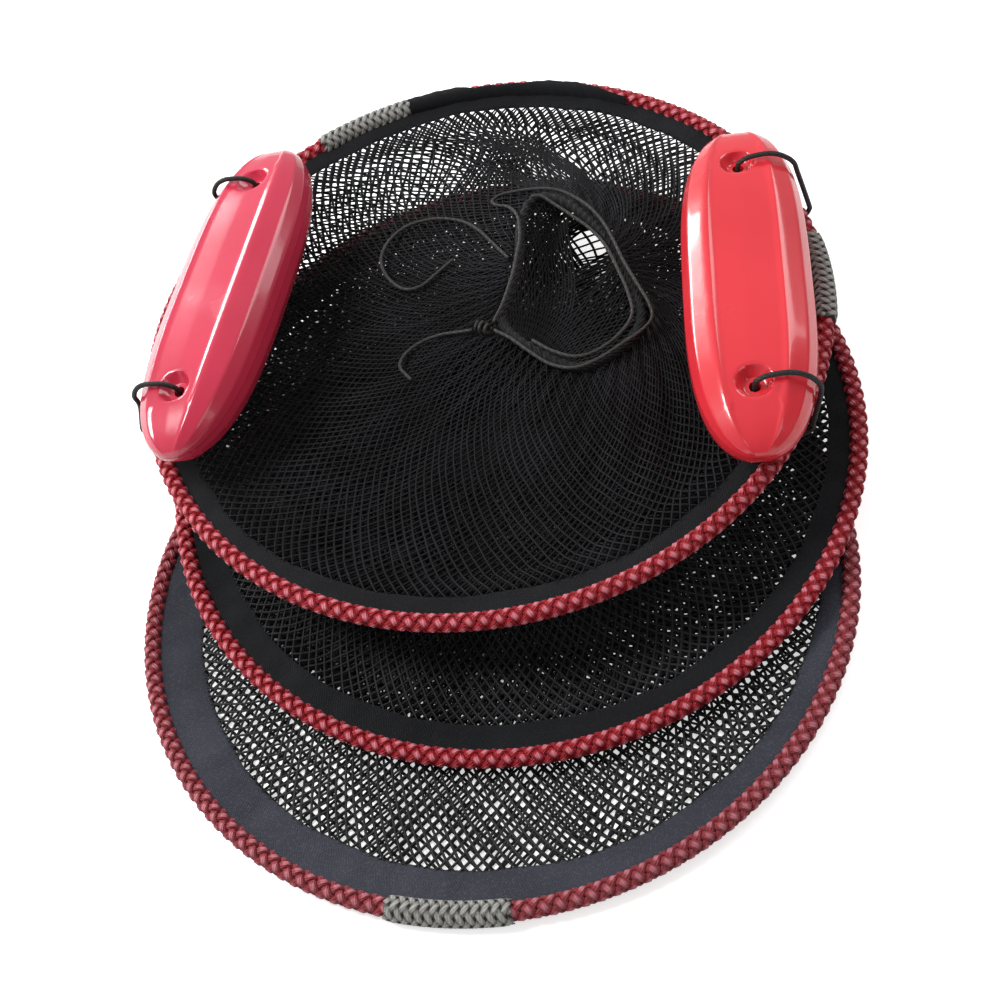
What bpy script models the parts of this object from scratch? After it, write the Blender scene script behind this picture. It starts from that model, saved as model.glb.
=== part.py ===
"""Floating fish basket: three rope hoops, netting between them, a drawn mouth and two floats.

Metres, +Z up. The basket lies folded, as it is put away: the hoops fan out towards +Y over each
other. The origin is the middle of the bottom hoop, on the ground.
"""
import math

import bmesh
import bpy
import numpy as np
from mathutils import Matrix, Vector

# Hoops: a spring wire inside a braided rope, joined by a ferrule under a pale braided cover
HOOP_RADIUS = 0.175
HOOP_SEGMENTS = 36
ROPE_RADIUS = 0.005
ROPE_WALL = 0.0023
CORE_END_GAP = 0.001
FERRULE_LENGTH = 0.040
FERRULE_WALL = 0.0012
SPLICE_LENGTH = 0.056
SPLICE_WALL = 0.0008
FIT_GAP = 0.0003
ARC_END_SHARE = 0.02

# Cloth hem inside each hoop, and the netting sewn to it
HEM_WIDTH = 0.0196
HEM_THICKNESS = 0.0012
NET_THICKNESS = 0.0010
NET_SEAM = 0.0055
TIER_LENGTH = 0.240
FOLD_HEIGHT = 0.0034
FOLD_LIP = 0.0020
LOWER_FOLD_RISE = 0.0
UPPER_FOLD_RISE = 0.35
BASE_NET_THICKNESS = 0.0015
BASE_NET_LAP = 0.008
BASE_NET_PITCH = 0.036
LEAST_GAP_SHARE = 0.5
BASE_NET_STRAND = 0.003

# Folded layout: where the middle and top hoops lie, and how far each one leans
MIDDLE_PLACE = (0.011, 0.071, 0.024)
MIDDLE_LEAN = math.radians(4)
TOP_PLACE = (0.0, 0.121, 0.060)
TOP_LEAN = math.radians(3)
BASE_SPLICES = (-94.5,)
MIDDLE_SPLICES = (80.0,)
TOP_SPLICES = (2.5, 114.0)

# Mouth: a drawn opening in the top net, with a rolled rim and a draw cord
MOUTH_LENGTH = 0.119
RIM_RADIUS = 0.003
RIM_HEIGHT = 0.004
RIM_CLEARANCE = 0.0006
TOP_NET_EDGE = 0.003
TOP_NET_SAG = 0.004
TOP_NET_ROWS = (0.0, 0.3, 0.6, 0.85, 1.0)
DRAW_CORD_RADIUS = 0.0012
CORD_STEP = 0.0072

# Floats: hollow moulded shells in two halves, tied to the top hoop through two holes. Each one's
# middle lies at a bearing from the hoop's middle, inset from its rope, and a float may roll outwards
FLOAT_LENGTH = 0.205
FLOAT_WIDTH = 0.063
FLOAT_THICKNESS = 0.038
FLOAT_WALL = 0.0018
FLOAT_SPLIT_GAP = 0.0003
FLOAT_END_POWER = 3.2
FLOAT_ROUND_POWER = 2.2
FLOAT_STATIONS = 12
HOLLOW_STATIONS = 8
TIP_SHARE = 0.35
LEAST_HALF_SIZE = 0.001
HOLE_SPACING = 0.139
HOLE_RADIUS = 0.0030
DIMPLE_RADIUS = 0.0085
DIMPLE_DEPTH = 0.0055
BOSS_WALL = 0.0022
CUTTER_SIDES = 16
TIE_RADIUS = 0.0015
TIE_CLEARANCE = 0.0004
TIE_SLACK = 1.05
NOTCH_CLEARANCE = 0.0009
HINGE_OUTSET = 0.002
FLOATS = {
    "left": {"bearing": 173.1, "inset": 0.046, "height": 0.025, "turn": -10.5, "roll": 13.5, "outward": -1},
    "right": {"bearing": -5.0, "inset": 0.037, "height": 0.0225, "turn": -0.5, "roll": 0.0, "outward": 1},
}

# Half of a float's section, side to crown, as shares of its half width and half thickness
FLOAT_SECTION = (
    (1.0, 0.0), (0.985, 0.30), (0.87, 0.66), (0.63, 0.925), (0.55, 1.0), (0.475, 0.955), (0.0, 0.975),
)

# The dished seat of a tie hole, top to floor, as shares of its radius and of its depth
DIMPLE_STEPS = ((1.18, -1.0), (1.0, 0.0), (0.86, 0.55), (0.6, 1.0))

# A tie's way over its float, from the hole to the outer edge, as shares of the float's half width and
# half thickness, each with the tie's own offset
TIE_OVER = (
    (0.0, 0.62), (0.055, 0.83), (0.18, 0.965), (0.38, 1.03), (0.58, 1.03), (0.78, 0.90), (0.96, 0.60),
    (1.03, 0.16),
)
TIE_UNDER = 4
TIE_ROUND = math.radians(15)
TIE_ROUND_STEPS = 8

# Sizes that follow from the ones above; a round tube has eight sides, so its flats lie inside its radius
FLAT_SHARE = math.cos(math.pi / 8)
SPLICE_RADIUS = ROPE_RADIUS + (FIT_GAP + SPLICE_WALL) / FLAT_SHARE
CORE_RADIUS = ROPE_RADIUS * FLAT_SHARE - ROPE_WALL - FIT_GAP
FERRULE_RADIUS = (CORE_RADIUS + FIT_GAP + FERRULE_WALL) / FLAT_SHARE
HEM_OUTER = HOOP_RADIUS - ROPE_RADIUS - FIT_GAP
HEM_INNER = HEM_OUTER - HEM_WIDTH
HEM_DROP = SPLICE_RADIUS - HEM_THICKNESS / 2 - BASE_NET_THICKNESS - FIT_GAP
NET_LIFT = HEM_THICKNESS / 2 + FIT_GAP + NET_THICKNESS / 2
NET_SEAM_RADIUS = HEM_OUTER - NET_SEAM
BASE_NET_RADIUS = HEM_INNER + BASE_NET_LAP
TIE_OFFSET = TIE_RADIUS + TIE_CLEARANCE
TIE_WRAP = (ROPE_RADIUS + TIE_OFFSET) * TIE_SLACK

# The mouth's outline, as it lies: hundredths of its length, across and back from the middle of the
# top hoop
MOUTH_OUTLINE = (
    (10.9, -2.5), (14.3, 15.1), (17.6, 35.3), (18.5, 55.5), (25.2, 68.9), (38.7, 63.9), (52.9, 46.2),
    (63.0, 21.0), (70.6, -5.0), (63.9, -21.0), (43.7, -31.1), (23.5, -18.5),
)

# Draw cord routes, hand laid on the top net and the rim: millimetres across, back and up from the
# middle of the top hoop
CORD_ROUTES = {
    "draw_cord_loop": (
        (8.6, -4.4, 7.0), (13.0, 4.0, 8.9), (15.5, 13.0, 8.9), (18.5, 25.0, 8.9), (20.5, 38.0, 8.9),
        (22.0, 52.0, 8.9), (20.5, 66.0, 8.9), (15.0, 76.5, 5.6), (8.0, 80.5, 4.0), (5.5, 84.5, 3.3),
        (10.0, 88.5, 3.3), (22.0, 89.0, 4.4), (34.0, 87.5, 5.3), (43.0, 84.5, 5.3), (51.0, 78.0, 5.8),
        (59.0, 68.0, 7.4), (66.0, 55.5, 8.3), (71.5, 41.0, 8.5), (76.0, 27.0, 8.6), (82.0, 12.0, 8.5),
        (88.0, -2.0, 7.4), (89.5, -11.0, 6.2), (84.5, -20.0, 7.9), (74.0, -28.5, 8.7), (62.0, -36.5, 8.6),
        (50.0, -40.0, 8.1), (38.0, -35.5, 7.2), (27.0, -26.0, 7.6), (18.0, -17.0, 7.8), (9.2, -9.6, 6.8),
    ),
    "draw_cord_strand": (
        (28.0, 79.0, 9.0), (33.5, 78.5, 8.8), (39.0, 74.0, 7.8), (49.0, 64.0, 7.3), (59.0, 52.5, 7.5),
        (67.0, 39.0, 8.1), (73.0, 22.0, 8.1), (78.0, 5.0, 7.7), (79.5, -9.0, 7.3), (73.0, -20.5, 7.1),
        (61.5, -30.0, 7.4), (50.5, -33.0, 8.1), (39.0, -28.0, 8.3), (29.0, -20.0, 8.3),
    ),
    "draw_cord_tail_rear": (
        (15.5, 40.0, 5.0), (6.5, 53.0, 4.0), (-2.0, 65.0, 3.0), (-12.5, 74.0, 2.0), (-27.0, 78.5, 1.0),
        (-42.0, 76.0, 0.5), (-52.0, 66.0, 0.5), (-55.5, 53.0, 0.5), (-51.0, 40.0, 0.5), (-41.5, 30.5, 0.5),
        (-32.0, 31.0, 1.0), (-24.0, 38.0, 1.5), (-15.5, 46.0, 2.0),
    ),
    "draw_cord_tail_front": (
        (-2.5, -6.8, 5.4), (-10.5, -5.6, 3.4), (-20.0, -5.0, 2.0), (-30.0, -7.5, 1.0), (-38.0, -13.5, 0.5),
        (-41.0, -22.0, 0.5), (-34.5, -31.5, 0.5),
    ),
}
KNOT_PLACE = (0.0030, -0.0065, 0.0061)
KNOT_SIZE = (0.0050, 0.0034, 0.0028)


def clear_scene():
    """Remove every object, so that the script can be run again."""
    for obj in list(bpy.data.objects):
        bpy.data.objects.remove(obj, do_unlink=True)


def make_collection(name):
    collection = bpy.data.collections.get(name) or bpy.data.collections.new(name)
    if name not in bpy.context.scene.collection.children:
        bpy.context.scene.collection.children.link(collection)
    return collection


def make_material(name, colour, roughness, metallic=0.0):
    material = bpy.data.materials.new(name)
    material.use_nodes = True
    shader = material.node_tree.nodes["Principled BSDF"]
    shader.inputs["Base Color"].default_value = (*colour, 1.0)
    shader.inputs["Roughness"].default_value = roughness
    shader.inputs["Metallic"].default_value = metallic
    material.diffuse_color = (*colour, 1.0)
    return material


clear_scene()
PARTS = make_collection("floating_fish_basket")
CUTTERS = make_collection("cutters")

FINISHES = {
    "rope": ((0.50, 0.03, 0.06), 0.75, 0.0),
    "splice": ((0.62, 0.60, 0.52), 0.8, 0.0),
    "wire": ((0.55, 0.56, 0.58), 0.35, 1.0),
    "ferrule": ((0.60, 0.50, 0.30), 0.4, 1.0),
    "hem": ((0.05, 0.05, 0.06), 0.85, 0.0),
    "net": ((0.012, 0.012, 0.014), 0.7, 0.0),
    "float": ((0.80, 0.03, 0.06), 0.22, 0.0),
    "tie": ((0.02, 0.02, 0.02), 0.7, 0.0),
    "cord": ((0.12, 0.12, 0.12), 0.6, 0.0),
}


def finish(obj, kind, parent=None):
    """Put a part in its collection, on its frame, with a material of its own."""
    colour, roughness, metallic = FINISHES[kind]
    obj.data.materials.clear()
    obj.data.materials.append(make_material(obj.name, colour, roughness, metallic))
    if obj.name not in PARTS.objects:
        PARTS.objects.link(obj)
    if parent is not None:
        obj.parent = parent
    return obj


def make_frame(name, place, turn=(0.0, 0.0, 0.0), parent=None):
    """An empty that carries the pieces of one moving body."""
    frame = bpy.data.objects.new(name, None)
    frame.location = place
    frame.rotation_euler = turn
    frame.parent = parent
    PARTS.objects.link(frame)
    bpy.context.view_layer.update()
    return frame


def smooth(mesh, angle=40):
    mesh.shade_smooth()
    mesh.set_sharp_from_angle(angle=math.radians(angle))


def hoop_point(angle):
    """A point on the faceted centre line of a hoop: on the chord between two of its corners."""
    step = 360.0 / HOOP_SEGMENTS
    low = math.floor(angle / step + 1e-9)
    share = angle / step - low
    ends = [math.radians((low + k) * step) for k in (0, 1)]
    a, b = (Vector((math.cos(t), math.sin(t), 0.0)) * HOOP_RADIUS for t in ends)
    return a.lerp(b, share)


def hoop_arc(start, end):
    """The hoop's centre line from one angle to another, through the corners between them.

    A corner almost at an end is left out, because the tube's wall would fold over there.
    """
    step = 360.0 / HOOP_SEGMENTS
    first = math.floor(start / step + ARC_END_SHARE) + 1
    last = math.ceil(end / step - ARC_END_SHARE) - 1
    corners = [hoop_point(k * step) for k in range(first, last + 1)]
    return [hoop_point(start), *corners, hoop_point(end)]


def arc_angle(length):
    """Degrees of hoop that a length takes up."""
    return math.degrees(length / HOOP_RADIUS)


def tube_curve(name, points, radius, resolution, cyclic=False, caps=True, flat=False):
    """A round tube along points, as a bevelled curve; a flat one keeps its sides level."""
    curve = bpy.data.curves.new(name, "CURVE")
    curve.dimensions = "3D"
    curve.twist_mode = "Z_UP" if flat else "MINIMUM"
    curve.bevel_depth = radius
    curve.bevel_resolution = resolution
    curve.render_resolution_u = 0
    curve.use_fill_caps = caps
    spline = curve.splines.new("POLY")
    spline.points.add(len(points) - 1)
    for target, point in zip(spline.points, points):
        target.co = (*point, 1.0)
    spline.use_cyclic_u = cyclic
    spline.use_smooth = True
    return bpy.data.objects.new(name, curve)


def curve_mesh(obj):
    """A mesh of a curve, in the curve's own place, with its caps welded."""
    bpy.context.scene.collection.objects.link(obj)
    bpy.context.view_layer.update()
    evaluated = obj.evaluated_get(bpy.context.evaluated_depsgraph_get())
    mesh = bpy.data.meshes.new_from_object(evaluated)
    mesh.name = obj.name
    work = bmesh.new()
    work.from_mesh(mesh)
    bmesh.ops.remove_doubles(work, verts=work.verts, dist=1e-6)
    work.to_mesh(mesh)
    work.free()
    name = obj.name
    bpy.data.objects.remove(obj, do_unlink=True)
    return bpy.data.objects.new(name, mesh)


def solid_rod(name, points, radius, kind, parent, resolution=2, cyclic=False, flat=False):
    return finish(tube_curve(name, points, radius, resolution, cyclic, flat=flat), kind, parent)


def hollow_tube(name, points, outer_radius, wall, kind, parent):
    """A tube with an open bore: the outer skin, thickened inwards."""
    obj = curve_mesh(tube_curve(name, points, outer_radius, 2, caps=False, flat=True))
    smooth(obj.data, 60)
    thicken = obj.modifiers.new("wall", "SOLIDIFY")
    thicken.thickness = wall
    thicken.offset = -1.0
    thicken.use_even_offset = True
    return finish(obj, kind, parent)


def sheet(name, rows, thickness, kind, parent=None):
    """A cloth ring: rows of points round the hoop, joined into a strip and thickened."""
    work = bmesh.new()
    rings = [[work.verts.new(point) for point in row] for row in rows]
    for ring, following in zip(rings, rings[1:]):
        count = len(ring)
        for k in range(count):
            work.faces.new((ring[k], ring[(k + 1) % count], following[(k + 1) % count], following[k]))
    mesh = bpy.data.meshes.new(name)
    work.to_mesh(mesh)
    work.free()
    smooth(mesh, 50)
    obj = bpy.data.objects.new(name, mesh)
    thicken = obj.modifiers.new("cloth", "SOLIDIFY")
    thicken.thickness = thickness
    thicken.offset = 0.0
    thicken.use_even_offset = True
    return finish(obj, kind, parent)


def screw_ring(name, profile, kind, parent):
    """A turned ring from a closed profile of radius and height, down its outer side first."""
    mesh = bpy.data.meshes.new(name)
    count = len(profile)
    edges = [(k, (k + 1) % count) for k in range(count)]
    mesh.from_pydata([(radius, 0.0, height) for radius, height in profile], edges, [])
    obj = bpy.data.objects.new(name, mesh)
    turn = obj.modifiers.new("turn", "SCREW")
    turn.steps = turn.render_steps = HOOP_SEGMENTS
    turn.use_merge_vertices = True
    turn.merge_threshold = 1e-5
    turn.use_smooth_shade = False
    return finish(obj, kind, parent)


def cut(obj, cutter, operation="DIFFERENCE"):
    """Boolean with a cutter that stays hidden in its own collection."""
    if cutter.name not in CUTTERS.objects:
        CUTTERS.objects.link(cutter)
    cutter.hide_render = True
    cutter.display_type = "WIRE"
    step = obj.modifiers.new(cutter.name, "BOOLEAN")
    step.operation = operation
    step.solver = "EXACT"
    step.object = cutter


def cylinder_mesh(name, spots, radius, half_height):
    """One mesh of upright cylinders at the given spots."""
    work = bmesh.new()
    for x, y in spots:
        place = Matrix.Translation((x, y, 0.0))
        bmesh.ops.create_cone(
            work, cap_ends=True, segments=CUTTER_SIDES, radius1=radius, radius2=radius,
            depth=2 * half_height, matrix=place,
        )
    mesh = bpy.data.meshes.new(name)
    work.to_mesh(mesh)
    work.free()
    return mesh


def hem_height(radius):
    """Height of a hem's middle above its hoop's plane: it falls from the rope to its inner edge."""
    return -HEM_DROP * (HEM_OUTER - radius) / HEM_WIDTH


def add_hoop(prefix, frame, splices):
    """One hoop: for each joint a wire, a rope length, a ferrule and a pale cover."""
    half_ferrule = arc_angle(FERRULE_LENGTH) / 2
    half_splice = arc_angle(SPLICE_LENGTH) / 2
    core_gap = arc_angle(CORE_END_GAP) / 2
    rope_gap = half_ferrule + arc_angle(CORE_END_GAP)
    hem = add_hem(prefix, frame)
    for index, start in enumerate(splices):
        end = splices[(index + 1) % len(splices)] + (360.0 if index == len(splices) - 1 else 0.0)
        mark = f"_{index + 1}" if len(splices) > 1 else ""
        wire = hoop_arc(start + core_gap, end - core_gap)
        rope = hoop_arc(start + rope_gap, end - rope_gap)
        joint = hoop_arc(start - half_ferrule, start + half_ferrule)
        cover = hoop_arc(start - half_splice, start + half_splice)
        solid_rod(f"{prefix}_hoop_wire{mark}", wire, CORE_RADIUS, "wire", frame, resolution=1, flat=True)
        hollow_tube(f"{prefix}_hoop_rope{mark}", rope, ROPE_RADIUS, ROPE_WALL, "rope", frame)
        hollow_tube(f"{prefix}_hoop_ferrule{mark}", joint, FERRULE_RADIUS, FERRULE_WALL, "ferrule", frame)
        hollow_tube(f"{prefix}_hoop_splice{mark}", cover, SPLICE_RADIUS, SPLICE_WALL, "splice", frame)
        relief = hoop_arc(start - half_splice - core_gap, start + half_splice + core_gap)
        relief_curve = tube_curve(f"{prefix}_relief{mark}", relief, SPLICE_RADIUS + FIT_GAP, 2, flat=True)
        cutter = curve_mesh(relief_curve)
        cutter.parent = frame
        cut(hem, cutter)
    return hem


def add_hem(prefix, frame):
    """The cloth band between the rope and the netting."""
    half = HEM_THICKNESS / 2
    outer, inner = hem_height(HEM_OUTER), hem_height(HEM_INNER)
    profile = [(HEM_OUTER, outer + half), (HEM_OUTER, outer - half)]
    profile += [(HEM_INNER, inner - half), (HEM_INNER, inner + half)]
    return screw_ring(f"{prefix}_hem", profile, "hem", frame)


def clip_to_circle(outline, radius):
    """The part of a convex outline that lies inside a circle of HOOP_SEGMENTS sides."""
    for k in range(HOOP_SEGMENTS):
        turn = 2 * math.pi * (k + 0.5) / HOOP_SEGMENTS
        normal = Vector((math.cos(turn), math.sin(turn)))
        kept = []
        for a, b in zip(outline, outline[1:] + outline[:1]):
            inside_a, inside_b = (radius - p.dot(normal) for p in (a, b))
            if inside_a >= 0:
                kept.append(a)
            if inside_a * inside_b < 0:
                kept.append(a.lerp(b, inside_a / (inside_a - inside_b)))
        outline = kept
    return outline


def outline_area(outline):
    return sum(a.x * b.y - b.x * a.y for a, b in zip(outline, outline[1:] + outline[:1])) / 2


def add_base_net(frame):
    """The flat bottom net: a disc with diamond gaps, with strands crossing at the origin."""
    curve = bpy.data.curves.new("base_net", "CURVE")
    curve.dimensions = "2D"
    curve.fill_mode = "BOTH"
    curve.extrude = BASE_NET_THICKNESS / 2

    def add_outline(points):
        spline = curve.splines.new("POLY")
        spline.points.add(len(points) - 1)
        for target, (x, y) in zip(spline.points, points):
            target.co = (x, y, 0.0, 1.0)
        spline.use_cyclic_u = True

    turns = [2 * math.pi * k / HOOP_SEGMENTS for k in range(HOOP_SEGMENTS)]
    add_outline([(BASE_NET_RADIUS * math.cos(t), BASE_NET_RADIUS * math.sin(t)) for t in turns])
    half = BASE_NET_PITCH / 2 - BASE_NET_STRAND / math.sqrt(2)
    reach = int(BASE_NET_RADIUS / BASE_NET_PITCH) + 1
    for column in range(-2 * reach, 2 * reach + 1):
        for row in range(-2 * reach, 2 * reach + 1):
            if (column + row) % 2 == 0:
                continue
            x, y = column * BASE_NET_PITCH / 2, row * BASE_NET_PITCH / 2
            diamond = [Vector(p) for p in ((x + half, y), (x, y + half), (x - half, y), (x, y - half))]
            gap = clip_to_circle(diamond, HEM_INNER - BASE_NET_STRAND)
            if len(gap) > 2 and outline_area(gap) > half**2 * LEAST_GAP_SHARE:
                add_outline(gap)
    obj = bpy.data.objects.new("base_net", curve)
    obj.location = (0.0, 0.0, BASE_NET_THICKNESS / 2 - SPLICE_RADIUS)
    return finish(obj, "net", frame)


def ring_points(radius, height):
    """Points round a hoop, one for each of its corners, at a radius and a height above its plane."""
    turns = [2 * math.pi * k / HOOP_SEGMENTS for k in range(HOOP_SEGMENTS)]
    return [Vector((radius * math.cos(t), radius * math.sin(t), height)) for t in turns]


def ring_row(frame, radius, height):
    """The same points in world space."""
    return [frame.matrix_world @ point for point in ring_points(radius, height)]


def fold_row(lower, upper, rise, draw_in=0.0):
    """Where the slack of a side net folds inwards between two hoops.

    The net's length is shared between the two seams, so in plan the fold lies on an ellipse with
    the seams as its foci, straight in from the midpoint between them.
    """
    row = []
    for k, (a, b) in enumerate(zip(lower, upper)):
        turn = 2 * math.pi * k / HOOP_SEGMENTS
        inward = Vector((-math.cos(turn), -math.sin(turn), 0.0))
        half = (b - a) / 2
        half.z = 0.0
        long_axis = TIER_LENGTH / 2
        short_axis = math.sqrt(long_axis**2 - half.length_squared)
        along = half.normalized().dot(inward)
        across = math.sqrt(max(0.0, 1 - along**2))
        reach = long_axis * short_axis / math.hypot(short_axis * along, long_axis * across)
        spot = (a + b) / 2 + inward * (reach + draw_in)
        spot.z = a.z + (b.z - a.z) * rise
        row.append(spot)
    return row


def add_side_net(name, lower_frame, upper_frame, rise):
    """Netting from one hoop's hem to the next one's, with its slack folded in between them."""
    seam = NET_SEAM_RADIUS
    edge = HEM_INNER
    low_outer = ring_row(lower_frame, seam, hem_height(seam) + NET_LIFT)
    low_inner = ring_row(lower_frame, edge, hem_height(edge) + NET_LIFT)
    high_inner = ring_row(upper_frame, edge, hem_height(edge) - NET_LIFT)
    high_outer = ring_row(upper_frame, seam, hem_height(seam) - NET_LIFT)
    lift = Vector((0.0, 0.0, FOLD_HEIGHT))
    fold = fold_row(low_inner, high_inner, rise)
    lip = [spot + lift / 2 for spot in fold_row(low_inner, high_inner, rise, FOLD_LIP)]
    lifted = [spot + lift for spot in fold]
    rows = [low_outer, low_inner, fold, lip, lifted, high_inner, high_outer]
    return sheet(name, rows, NET_THICKNESS, "net")


def smooth_curve(points, closed=False, fineness=12):
    """A smooth curve through points, as closely spaced points of a cubic between each two of them."""
    control = [Vector(p) for p in points]
    if closed:
        padded = [control[-1], *control, control[0], control[1]]
    else:
        padded = [control[0] * 2 - control[1], *control, control[-1] * 2 - control[-2]]
    dense = []
    for p0, p1, p2, p3 in zip(padded, padded[1:], padded[2:], padded[3:]):
        for k in range(fineness):
            t = k / fineness
            bend = (2 * p0 - 5 * p1 + 4 * p2 - p3) * t**2 + (3 * p1 - p0 - 3 * p2 + p3) * t**3
            dense.append(0.5 * (2 * p1 + (p2 - p0) * t + bend))
    if not closed:
        dense.append(control[-1])
    return dense


def smooth_route(points, step):
    """Points at even steps along a smooth curve through a route's own points."""
    dense = smooth_curve(points)
    lengths = np.cumsum([0.0] + [(b - a).length for a, b in zip(dense, dense[1:])])
    marks = np.linspace(0.0, lengths[-1], round(lengths[-1] / step) + 1)
    table = np.array([tuple(p) for p in dense])
    return [Vector([float(np.interp(m, lengths, table[:, axis])) for axis in range(3)]) for m in marks]


def mouth_row(outset):
    """The mouth's outline pushed out by an outset, one point for each corner of the hoop."""
    unit = MOUTH_LENGTH / 100
    dense = smooth_curve([Vector((x * unit, y * unit, 0.0)) for x, y in MOUTH_OUTLINE], closed=True)
    count = len(dense)
    middle = sum(dense, Vector()) / count
    outwards = math.copysign(outset, outline_area(dense))
    pushed = []
    for k, point in enumerate(dense):
        along = (dense[(k + 1) % count] - dense[k - 1]).normalized()
        pushed.append(point + Vector((along.y, -along.x, 0.0)) * outwards)
    turns = np.unwrap([math.atan2(p.y - middle.y, p.x - middle.x) for p in dense])
    if turns[-1] < turns[0]:
        turns, pushed = turns[::-1], pushed[::-1]
    around = np.append(turns, turns[0] + 2 * math.pi)
    table = np.array([tuple(p) for p in [*pushed, pushed[0]]])
    row = []
    for k in range(HOOP_SEGMENTS):
        turn = 2 * math.pi * k / HOOP_SEGMENTS
        turn += 2 * math.pi * math.ceil((turns[0] - turn) / (2 * math.pi))
        row.append(Vector((np.interp(turn, around, table[:, 0]), np.interp(turn, around, table[:, 1]), 0.0)))
    return row


def add_top_net(frame):
    """The top net, from the top hem to the mouth's rim, slack between them."""
    start = hem_height(HEM_INNER) + NET_LIFT
    inner = ring_points(HEM_INNER, start)
    mouth = mouth_row(RIM_RADIUS + RIM_CLEARANCE)
    rows = [ring_points(NET_SEAM_RADIUS, hem_height(NET_SEAM_RADIUS) + NET_LIFT)]
    for share in TOP_NET_ROWS:
        height = start + (TOP_NET_EDGE - start) * share - TOP_NET_SAG * math.sin(math.pi * share)
        row = [a.lerp(b, share) for a, b in zip(inner, mouth)]
        rows.append([Vector((point.x, point.y, height)) for point in row])
    return sheet("top_net", rows, NET_THICKNESS, "net", frame)


def add_draw_cord(frame):
    """The loose draw cord: its loop round the mouth, a second strand, two tails and their knot."""
    for name, route in CORD_ROUTES.items():
        points = smooth_route([Vector(p) * 0.001 for p in route], CORD_STEP)
        solid_rod(name, points, DRAW_CORD_RADIUS, "cord", frame)
    work = bmesh.new()
    bmesh.ops.create_uvsphere(work, u_segments=12, v_segments=8, radius=1.0)
    bmesh.ops.transform(work, matrix=Matrix.Diagonal((*KNOT_SIZE, 1.0)), verts=work.verts)
    mesh = bpy.data.meshes.new("draw_cord_knot")
    work.to_mesh(mesh)
    work.free()
    smooth(mesh)
    knot = bpy.data.objects.new("draw_cord_knot", mesh)
    knot.location = KNOT_PLACE
    finish(knot, "cord", frame)


def add_mouth_rim(frame):
    """The rolled rim that gathers the top net, as one closed tube."""
    points = [(spot.x, spot.y, RIM_HEIGHT) for spot in mouth_row(0.0)]
    return solid_rod("mouth_rim", points, RIM_RADIUS, "net", frame, resolution=1, cyclic=True, flat=True)


def float_half_sizes(along):
    """Half width and half thickness of a float at a distance from its middle."""
    share = min(1.0, abs(along) / (FLOAT_LENGTH / 2))
    roundness = (1 - share**FLOAT_END_POWER) ** (1 / FLOAT_ROUND_POWER)
    return FLOAT_WIDTH / 2 * roundness, FLOAT_THICKNESS / 2 * roundness


def float_body(name, inset, bottom, stations):
    """Half a float above a flat bottom: sections lofted along its length, all inset by a wall."""
    half_length = FLOAT_LENGTH / 2 - inset
    section = list(FLOAT_SECTION) + [(-x, z) for x, z in reversed(FLOAT_SECTION[:-1])]
    work = bmesh.new()
    rings = []
    for k in range(stations):
        along = -half_length * math.cos(math.pi * (k + TIP_SHARE) / (stations - 1 + 2 * TIP_SHARE))
        outer = float_half_sizes(along * (FLOAT_LENGTH / 2) / half_length)
        width, height = (max(size - inset, LEAST_HALF_SIZE) for size in outer)
        ring = [work.verts.new((x * width, along, max(z * height, 0.0) + bottom)) for x, z in section]
        if inset:
            for corner in (ring[0], ring[-1]):
                corner.co.z = -inset
        rings.append(ring)
    for ring, following in zip(rings, rings[1:]):
        count = len(ring)
        for k in range(count):
            work.faces.new((ring[k], ring[(k + 1) % count], following[(k + 1) % count], following[k]))
    work.faces.new(rings[0])
    work.faces.new(list(reversed(rings[-1])))
    bmesh.ops.recalc_face_normals(work, faces=work.faces)
    mesh = bpy.data.meshes.new(name)
    work.to_mesh(mesh)
    work.free()
    return mesh


def dimple_mesh(name, spots):
    """Tie holes with a round dished seat at the top, turned from one profile."""
    seat = float_half_sizes(HOLE_SPACING / 2)[1]
    profile = [(DIMPLE_RADIUS * share, seat - DIMPLE_DEPTH * deep) for share, deep in DIMPLE_STEPS]
    profile += [(HOLE_RADIUS, seat - DIMPLE_DEPTH), (HOLE_RADIUS, -FLOAT_WALL)]
    turns = [2 * math.pi * k / CUTTER_SIDES for k in range(CUTTER_SIDES)]
    work = bmesh.new()
    for x, y in spots:
        rings = []
        for radius, height in profile:
            spots_round = [(x + radius * math.cos(t), y + radius * math.sin(t), height) for t in turns]
            rings.append([work.verts.new(spot) for spot in spots_round])
        for ring, following in zip(rings, rings[1:]):
            for k in range(CUTTER_SIDES):
                n = (k + 1) % CUTTER_SIDES
                work.faces.new((ring[k], ring[n], following[n], following[k]))
        work.faces.new(rings[0])
        work.faces.new(list(reversed(rings[-1])))
    bmesh.ops.recalc_face_normals(work, faces=work.faces)
    mesh = bpy.data.meshes.new(name)
    work.to_mesh(mesh)
    work.free()
    return mesh


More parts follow.
